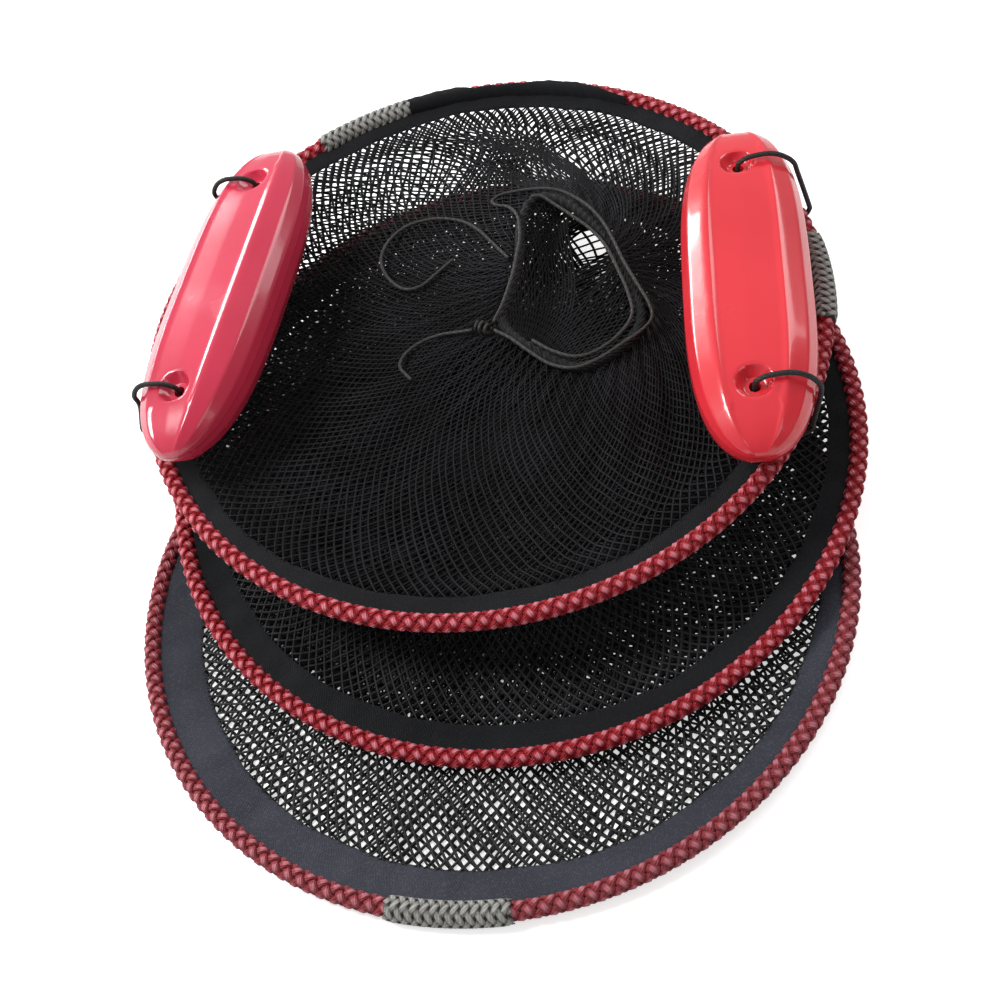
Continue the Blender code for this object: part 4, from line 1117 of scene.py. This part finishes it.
class BASKET_OT_base_net(bpy.types.Operator):
    """Stretch the flat bottom net inside the bottom hoop"""

    bl_idname = "basket.base_net"
    bl_label = "Bottom net"

    def execute(self, context):
        """Two crossing sets of chords of a circle, which sway less towards its edge and rise to the band."""
        settings = context.scene.basket_net
        reach, strand = BANDS["base"][0] + BASE_NET_TUCK, settings.strand
        count = int(reach / settings.spacing)
        offset = (np.arange(-count, count + 1) * settings.spacing)[:, None]
        along = np.linspace(-1, 1, BASE_NET_STATIONS) * np.sqrt(reach**2 - offset**2)
        skin = Skin()
        for turn in BASE_NET_TURNS:
            cos, sin = math.cos(math.radians(turn)), math.sin(math.radians(turn))
            x, y = along * cos - offset * sin, along * sin + offset * cos
            out = np.hypot(x, y)
            sway_x = 0.0006 * np.sin(y * 61 + 0.7) + 0.0005 * np.sin(x * 37 + y * 23)
            sway_y = 0.0006 * np.sin(x * 53 + 1.9) + 0.0005 * np.sin(y * 41 - x * 29)
            fade = np.clip((reach - out) / BASE_NET_FADE, 0, 1)
            height = np.maximum(BASE_NET_HEIGHT, hem_height(out) + HOOPS["base"]["place"][2] - BASE_NET_DROP)
            centres = np.stack([x + sway_x * fade, y + sway_y * fade, height], axis=-1)
            skin.add(sections(centres, (0.0, 0.0, 1.0), strand, strand * TWINE_FLATNESS, 4))
        net = dress(skin, "base_netting", [net_finish(context, "lower")], "base_hoop", "base_net")
        return {"FINISHED"}


def net_finish(context, tier):
    """A tier's netting material, made once and shared by the nets of that tier."""
    name, colour = f"{tier}_net_twine", getattr(context.scene.basket_net, f"{tier}_colour")
    colours = colour, shade(colour, 1.6 if tier == "lower" else 2.5)
    return bpy.data.materials.get(name) or plain_yarn(name, colours, 0.55, 30.0, 0.00008, 0.18)


class BASKET_OT_side_nets(bpy.types.Operator):
    """Fold the slack side nets in between the hoops"""

    bl_idname = "basket.side_nets"
    bl_label = "Side nets"

    def execute(self, context):
        for node, spec in SIDE_NETS.items():
            self.add_side_net(context, node, *spec)
        return {"FINISHED"}

    def add_side_net(self, context, node, lower, upper, rise, blend):
        """Each flap goes straight from a hem to the fold's lip, with pleats that deepen towards it."""
        settings = context.scene.basket_net
        lift = np.array([0.0, 0.0, FOLD_HEIGHT])
        girth, deep = TURN * NET_START, HEM_LAP + TIER_HALF

        def flap(hoop, upward, side):
            def lie(angle, depth):
                radius = NET_START - np.minimum(depth, HEM_LAP)
                share = np.clip((depth - HEM_LAP) / TIER_HALF, 0, 1)[..., None]
                rise_out = side * NET_LIFT * out_of_band(hoop, angle, depth) + band_pucker(hoop, angle, radius)
                start = ring(hoop, angle, radius, hem_height(radius) + rise_out)
                fold = fold_line(lower, upper, angle, rise, 0.0) + lift * upward
                lip = fold_line(lower, upper, angle, rise, FOLD_LIP) + lift / 2
                straight = np.minimum(share / LIP_START, 1)
                point = start + (fold - start) * straight
                point += (lip - fold) * np.clip((share - LIP_START) / (1 - LIP_START), 0, 1)
                pleat = 0.0005 * np.sin(angle * 74 + share[..., 0] * 3) + 0.0003 * np.sin(angle * 31)
                point[..., 2] += pleat * np.sin(math.pi * straight[..., 0])
                return point
            return lie

        for place, hoop, upward, side in (("lower", lower, 0.0, 1.0), ("upper", upper, 1.0, -1.0)):
            skin, key = Skin(), f"{node}_{place}"
            net_lattice(skin, hoop, flap(hoop, upward, side), (0.0, 0.0, 1.0), lambda angle: np.full_like(angle, deep),
                        settings.spacing, settings.strand * TWINE_SHARE[key], SIDE_NET_STATIONS, PARTINGS.get(key, ()))
            piece = dress(skin, key + "_flap", [net_finish(context, node.split("_")[0])], node=node)
            if place == "lower":
                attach(piece, f"{hoop}_hoop")
            else:
                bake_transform(piece)


class BASKET_OT_top_net(bpy.types.Operator):
    """Gather the top net in to the mouth and roll its rim"""

    bl_idname = "basket.top_net"
    bl_label = "Top net and mouth rim"

    def execute(self, context):
        """Each strand goes straight in plan from the seam to the mouth, sags between them and gathers there."""
        settings = context.scene.basket_net
        climb = TOP_NET_EDGE - hem_height(HEM_INNER) - NET_LIFT

        def inner_point(angle):
            return np.stack([HEM_INNER * np.cos(angle), HEM_INNER * np.sin(angle)], axis=-1)

        def depth(angle):
            mouth = mouth_line(angle, RIM_MEET)
            return np.linalg.norm(mouth - inner_point(angle), axis=-1) + HEM_LAP

        def lie(angle, q):
            radius = NET_START - np.minimum(q, HEM_LAP)
            share = np.clip((q - HEM_LAP) / (depth(angle) - HEM_LAP), 0, 1)
            outer = inner_point(angle) * radius[..., None] / HEM_INNER
            plan = outer * (1 - share[..., None]) + mouth_line(angle, RIM_MEET) * share[..., None]
            bow = np.sin(math.pi * share)
            height = hem_height(radius) + NET_LIFT * out_of_band("top", angle, q) + band_pucker("top", angle, radius)
            height = height + climb * share - TOP_NET_SAG * bow
            gather = 0.0011 * np.sin(angle * 58 + 2 * np.sin(angle * 3)) * share**3
            slack = (0.0008 * np.sin(angle * 13 + share * 5) + 0.0006 * np.sin(angle * 29 - share * 9)) * bow
            return lay("top", np.concatenate([plan, (height + gather + slack)[..., None]], axis=-1))

        skin = Skin()
        net_lattice(skin, "top", lie, hoop_up("top"), depth, settings.spacing,
                    settings.strand * TWINE_SHARE["top_net"], TOP_NET_STATIONS, PARTINGS["top_net"])
        net = dress(skin, "top_netting", [net_finish(context, "top")], "top_hoop", "top_net")
        self.add_rim(settings.top_colour)
        return {"FINISHED"}

    def add_rim(self, colour):
        """A closed roll of gathered netting: a tube whose radius swells and pinches with each gather."""
        outline = smooth_path(np.array(MOUTH_OUTLINE) * MOUTH_UNIT, RIM_STEP, closed=True)
        path = lay("top", np.hstack([outline, np.full((len(outline), 1), RIM_HEIGHT)]))
        station = np.arange(len(path))[:, None] / len(path) * TURN
        corner = np.arange(RIM_CORNERS) / RIM_CORNERS * TURN
        swell = 1 + 0.13 * np.sin(station * 61 + corner + 2 * np.sin(station * 5)) + 0.06 * np.sin(station * 137)
        rings = sections(path[None], hoop_up("top"), RIM_ROLL, RIM_ROLL, RIM_CORNERS, closed=True)
        skin = Skin()
        skin.add(path[:, None] + (rings - path[:, None]) * swell[..., None], closed=True)
        # Painted light: the roll is 1.8 times its colour on its upper side, a painted highlight, and its own colour
        # underneath
        finish = fibre_material("rim_roll", colour, shade(colour, 1.8), (-1.0, -0.5), 9.0, 300.0, 0.0005, 0.6,
                                (0.1, 0.1, 0.1), sheen=0.05, dusting=0.1, specular=0.2)
        dress(skin, "mouth_roll", [finish], "top_hoop", "mouth_rim")


def float_half_sizes(along):
    """Half width and half thickness of a float at a distance from its middle, on a rounded rectangle."""
    share = np.clip(np.abs(along) / FLOAT_HALF_LENGTH, 0, 1)
    roundness = (1 - share**FLOAT_END_POWER) ** (1 / FLOAT_ROUND_POWER)
    return FLOAT_HALF_WIDTH * roundness, FLOAT_HALF_HEIGHT * roundness


def float_pose(spec):
    """A float's turn as a matrix and its centre, both in the top hoop's own frame."""
    bearing = math.radians(spec["bearing"])
    reach = HOOP_RADIUS - spec["inset"]
    centre = np.array([reach * math.cos(bearing), reach * math.sin(bearing), spec["height"]])
    return np.array(Matrix.Rotation(math.radians(spec["turn"]), 3, "Z")), centre


class BASKET_OT_floats(bpy.types.Operator):
    """Mould the two floats, each in two halves with dished tie holes"""

    bl_idname = "basket.floats"
    bl_label = "Floats"

    def execute(self, context):
        settings = context.scene.basket_float
        for side, spec in FLOATS.items():
            red, green, blue = getattr(settings, f"{side}_colour")
            colours = (red, green, blue), (red * 0.82, green * 0.7, blue * 0.7)
            finish = plastic_material(f"{side}_float_plastic", colours, settings.roughness)
            turn, centre = float_pose(spec)
            for half, flip in (("top", 0.0), ("bottom", 180.0)):
                roll = Matrix.Rotation(math.radians(flip + spec["roll"] * spec["outward"]), 3, "Y")
                self.add_shell(side, half, turn @ np.array(roll), centre, finish)
        return {"FINISHED"}

    def section(self):
        """Half a float's section, side to crown, with its corners rounded by a running average."""
        fine = resample(np.array(FLOAT_SECTION), SECTION_POINTS)
        mirrored = np.vstack([fine[:0:-1] * (1, -1), fine, fine[-2::-1] * (-1, 1)])
        kernel = np.hanning(SECTION_BLUR) / np.hanning(SECTION_BLUR).sum()
        smooth = np.stack([np.convolve(mirrored[:, k], kernel, mode="same") for k in (0, 1)], axis=1)
        half = smooth[SECTION_POINTS - 1:2 * SECTION_POINTS - 1]
        half[0], half[-1, 0] = (1.0, 0.0), 0.0
        return resample(half, SECTION_CORNERS)

    def add_shell(self, side, half, turn, centre, finish):
        """A half shell: a ridged section lofted along the float over a flat split, with two dished holes.

        Round each hole the grid's square rings are rounded into circles, the innermost square is left
        out, and its edge is joined to the flat split by the hole's wall.
        """
        middle = (np.arange(-SHELL_ROWS, SHELL_ROWS) + 0.5) * SHELL_STEP
        eased = np.sin(np.linspace(0, math.pi / 2, SHELL_END_ROWS + 1))[1:]
        end = middle[-1] + (FLOAT_HALF_LENGTH * SHELL_TIP - middle[-1]) * eased
        rows = np.concatenate([-end[::-1], middle, end])[:, None]
        profile = self.section()
        profile = np.vstack([profile[:-1], [(0.0, profile[-1, 1])], profile[-2::-1] * (-1, 1)])
        shares, heights = profile.T
        x, y = np.broadcast_arrays(float_half_sizes(rows)[0] * shares, rows)
        holed = np.zeros((x.shape[0] - 1, x.shape[1] - 1), bool)
        drop = np.zeros_like(x)
        for spot in (-HOLE_REACH, HOLE_REACH):
            x, y, near = self.round_out(x, y, spot)
            drop = np.maximum(drop, near)
            mid_x, mid_y = ((v[1:, 1:] + v[:-1, :-1]) / 2 for v in (x, y))
            holed |= np.hypot(mid_x, mid_y - spot) < HOLE_RADIUS * 0.9
        wide, tall = float_half_sizes(y)
        order = np.argsort(shares)
        crown = np.interp(x / np.maximum(wide, 1e-9), shares[order], heights[order])
        z = np.where(np.abs(shares) < 0.5, crown, heights) * tall + FLOAT_SPLIT
        z = np.maximum(z - drop * DIMPLE_DEPTH, FLOAT_SPLIT)
        local = np.concatenate([np.stack([x, y, height], axis=-1).reshape(-1, 3)
                                for height in (z, np.full_like(z, FLOAT_SPLIT))])
        quads = self.join(holed)
        skin = Skin()
        skin.points, skin.marks = [lay("top", local @ turn.T + centre)], [np.zeros(len(local))]
        skin.quads = [(quads, local[quads][..., :2], 0)]
        dress(skin, f"float_{side}_{half}_half", [finish], f"{side}_float", f"float_{side}_{half}_shell",
              sharp=math.radians(SHELL_SHARP))

    def round_out(self, x, y, spot):
        """Square rings near a hole become circles: each is moved to its own distance from the hole.

        The third result is how deep the dimple is there, as a share of its whole depth.
        """
        inner, outer = HOLE_SQUARES
        y = y - spot
        rest = np.clip((np.maximum(np.abs(x), np.abs(y)) - inner) / (outer - inner), 0, 1)
        target = HOLE_RADIUS + (outer - HOLE_RADIUS) * rest
        ease = (1 - rest) ** 0.5
        factor = ease * target / np.maximum(np.hypot(x, y), 1e-9) + 1 - ease
        x, y = x * factor, y * factor
        return x, y + spot, np.interp(np.hypot(x, y), *zip(*DIMPLE_STEPS))

    def join(self, holed):
        """Faces of the skin, of the flat split whose points follow it, of their edges and of the hole walls."""
        rows, columns = holed.shape[0] + 1, holed.shape[1] + 1
        below = rows * columns
        index = np.arange(below).reshape(rows, columns)
        skin = np.stack([index[:-1, :-1], index[1:, :-1], index[1:, 1:], index[:-1, 1:]], axis=-1)[~holed]
        faces = [skin, skin[:, ::-1] + below]
        for a, b in ((index[:-1, 0], index[1:, 0]), (index[1:, -1], index[:-1, -1]),
                     (index[0, 1:], index[0, :-1]), (index[-1, :-1], index[-1, 1:])):
            faces.append(np.stack([a, a + below, b + below, b], axis=-1))
        for grid, gaps, sense in ((index, holed, 1), (index.T, holed.T, -1)):
            for hole, solid, way in ((gaps[1:], gaps[:-1], sense), (gaps[:-1], gaps[1:], -sense)):
                r, c = np.nonzero(hole & ~solid)
                edge = np.stack([grid[r + 1, c], grid[r + 1, c + 1]], axis=-1)[:, ::way]
                faces.append(np.hstack([edge, edge[:, ::-1] + below]))
        return np.concatenate(faces)


class BASKET_OT_ties(bpy.types.Operator):
    """Tie each float to the top hoop with two black cords"""

    bl_idname = "basket.ties"
    bl_label = "Float ties"

    def execute(self, context):
        colour = context.scene.basket_float.tie_colour
        # Painted light: each tie is three times its colour on one side, a painted highlight, and 0.4 of it on the
        # other, a painted shade
        finish = fibre_material("tie_cord", shade(colour, 0.4), shade(colour, 3), (-1.0, -0.5), 6.0, 420.0, 0.0003,
                                0.55, (0.15, 0.15, 0.15), sheen=0.03, dusting=0.05, specular=0.3)
        for side, spec in FLOATS.items():
            for place, along in (("rear", HOLE_REACH), ("front", -HOLE_REACH)):
                self.add_tie(side, place, along, spec, finish)
        return {"FINISHED"}

    def add_tie(self, side, place, along, spec, finish):
        """A closed loop in the upright plane through its hole: over the float, round the hoop, and back."""
        turn, centre = float_pose(spec)
        outward = turn @ np.array([spec["outward"], 0.0, 0.0])
        hole = centre + turn @ np.array([0.0, along, 0.0])
        meet = hole[:2] @ outward[:2]
        distance = -meet + math.sqrt(meet**2 - hole[:2] @ hole[:2] + HOOP_RADIUS**2)
        crossing = hole[:2] + outward[:2] * distance
        slant = 1 / max(0.5, float(crossing @ outward[:2]) / HOOP_RADIUS)
        across, crown = (size + TIE_OFFSET for size in float_half_sizes(along))
        tip = np.array(Matrix.Rotation(-math.radians(spec["roll"]), 2))
        over = np.array(TIE_OVER) * (across, crown) @ tip.T
        under = np.array(TIE_OVER[:TIE_UNDER])[::-1] * (across, -crown) @ tip.T
        turns = np.radians(np.linspace(*TIE_TURNS, 9))
        hoop = np.stack([distance + np.cos(turns) * slant * TIE_WRAP,
                         np.sin(turns) * TIE_WRAP - spec["height"]], axis=1)
        loop = smooth_path(np.vstack([over, hoop, under]), CORD_STEP, closed=True)
        path = lay("top", hole + loop[:, :1] * outward + loop[:, 1:] * (0.0, 0.0, 1.0))
        sideways = lean_matrix("top") @ np.cross(outward, (0.0, 0.0, 1.0))
        tie = dress(tube(path, sideways, TIE_RADIUS, 12, closed=True), f"float_{side}_{place}_tie_cord", [finish],
                    node=f"float_{side}_{place}_tie")
        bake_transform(tie)


class BASKET_OT_metal_parts(bpy.types.Operator):
    """Give the hidden spring wires and ferrules their metal"""

    bl_idname = "basket.metal_parts"
    bl_label = "Wires and ferrules"

    def execute(self, context):
        wire = metal_material("spring_wire", (0.55, 0.56, 0.58), 0.22, (1.0, 1.0, 6.0))
        ferrule = metal_material("crimped_ferrule", (0.70, 0.70, 0.72), 0.32, (2.0, 2.0, 2.0))
        for name, node in NODES.items():
            for word, material in (("_wire", wire), ("_ferrule", ferrule)):
                if word in name:
                    node.data.materials.clear()
                    node.data.materials.append(material)
        return {"FINISHED"}


class BASKET_PT_pieces(bpy.types.Panel):
    """Lists the basket's pieces and their settings"""

    bl_idname = "BASKET_PT_pieces"
    bl_label = "Fish basket"
    bl_space_type = "VIEW_3D"
    bl_region_type = "UI"
    bl_category = "Basket"

    def draw(self, context):
        for operator in OPERATORS:
            self.layout.operator(operator.bl_idname, text=operator.bl_label)
        for name, kind in SETTINGS.items():
            box = self.layout.box()
            held = getattr(context.scene, name)
            for key in kind.__annotations__:
                box.prop(held, key)


SETTINGS = {
    "basket_hoop": HoopSettings,
    "basket_net": NetSettings,
    "basket_float": FloatSettings,
    "basket_cord": CordSettings,
    "basket_stage": StageSettings,
}
OPERATORS = (
    BASKET_OT_stage, BASKET_OT_draw_cord, BASKET_OT_hoop_ropes, BASKET_OT_hems, BASKET_OT_base_net,
    BASKET_OT_side_nets, BASKET_OT_top_net, BASKET_OT_floats, BASKET_OT_ties, BASKET_OT_metal_parts,
)


def register():
    for kind in (*SETTINGS.values(), *OPERATORS, BASKET_PT_pieces):
        bpy.utils.register_class(kind)
    for name, kind in SETTINGS.items():
        setattr(bpy.types.Scene, name, PointerProperty(type=kind))


def unregister():
    for name in SETTINGS:
        delattr(bpy.types.Scene, name)
    for kind in reversed((*SETTINGS.values(), *OPERATORS, BASKET_PT_pieces)):
        bpy.utils.unregister_class(kind)


def main():
    register()
    for operator in OPERATORS:
        family, action = operator.bl_idname.split(".")
        getattr(getattr(bpy.ops, family), action)()


if __name__ == "__main__":
    main()
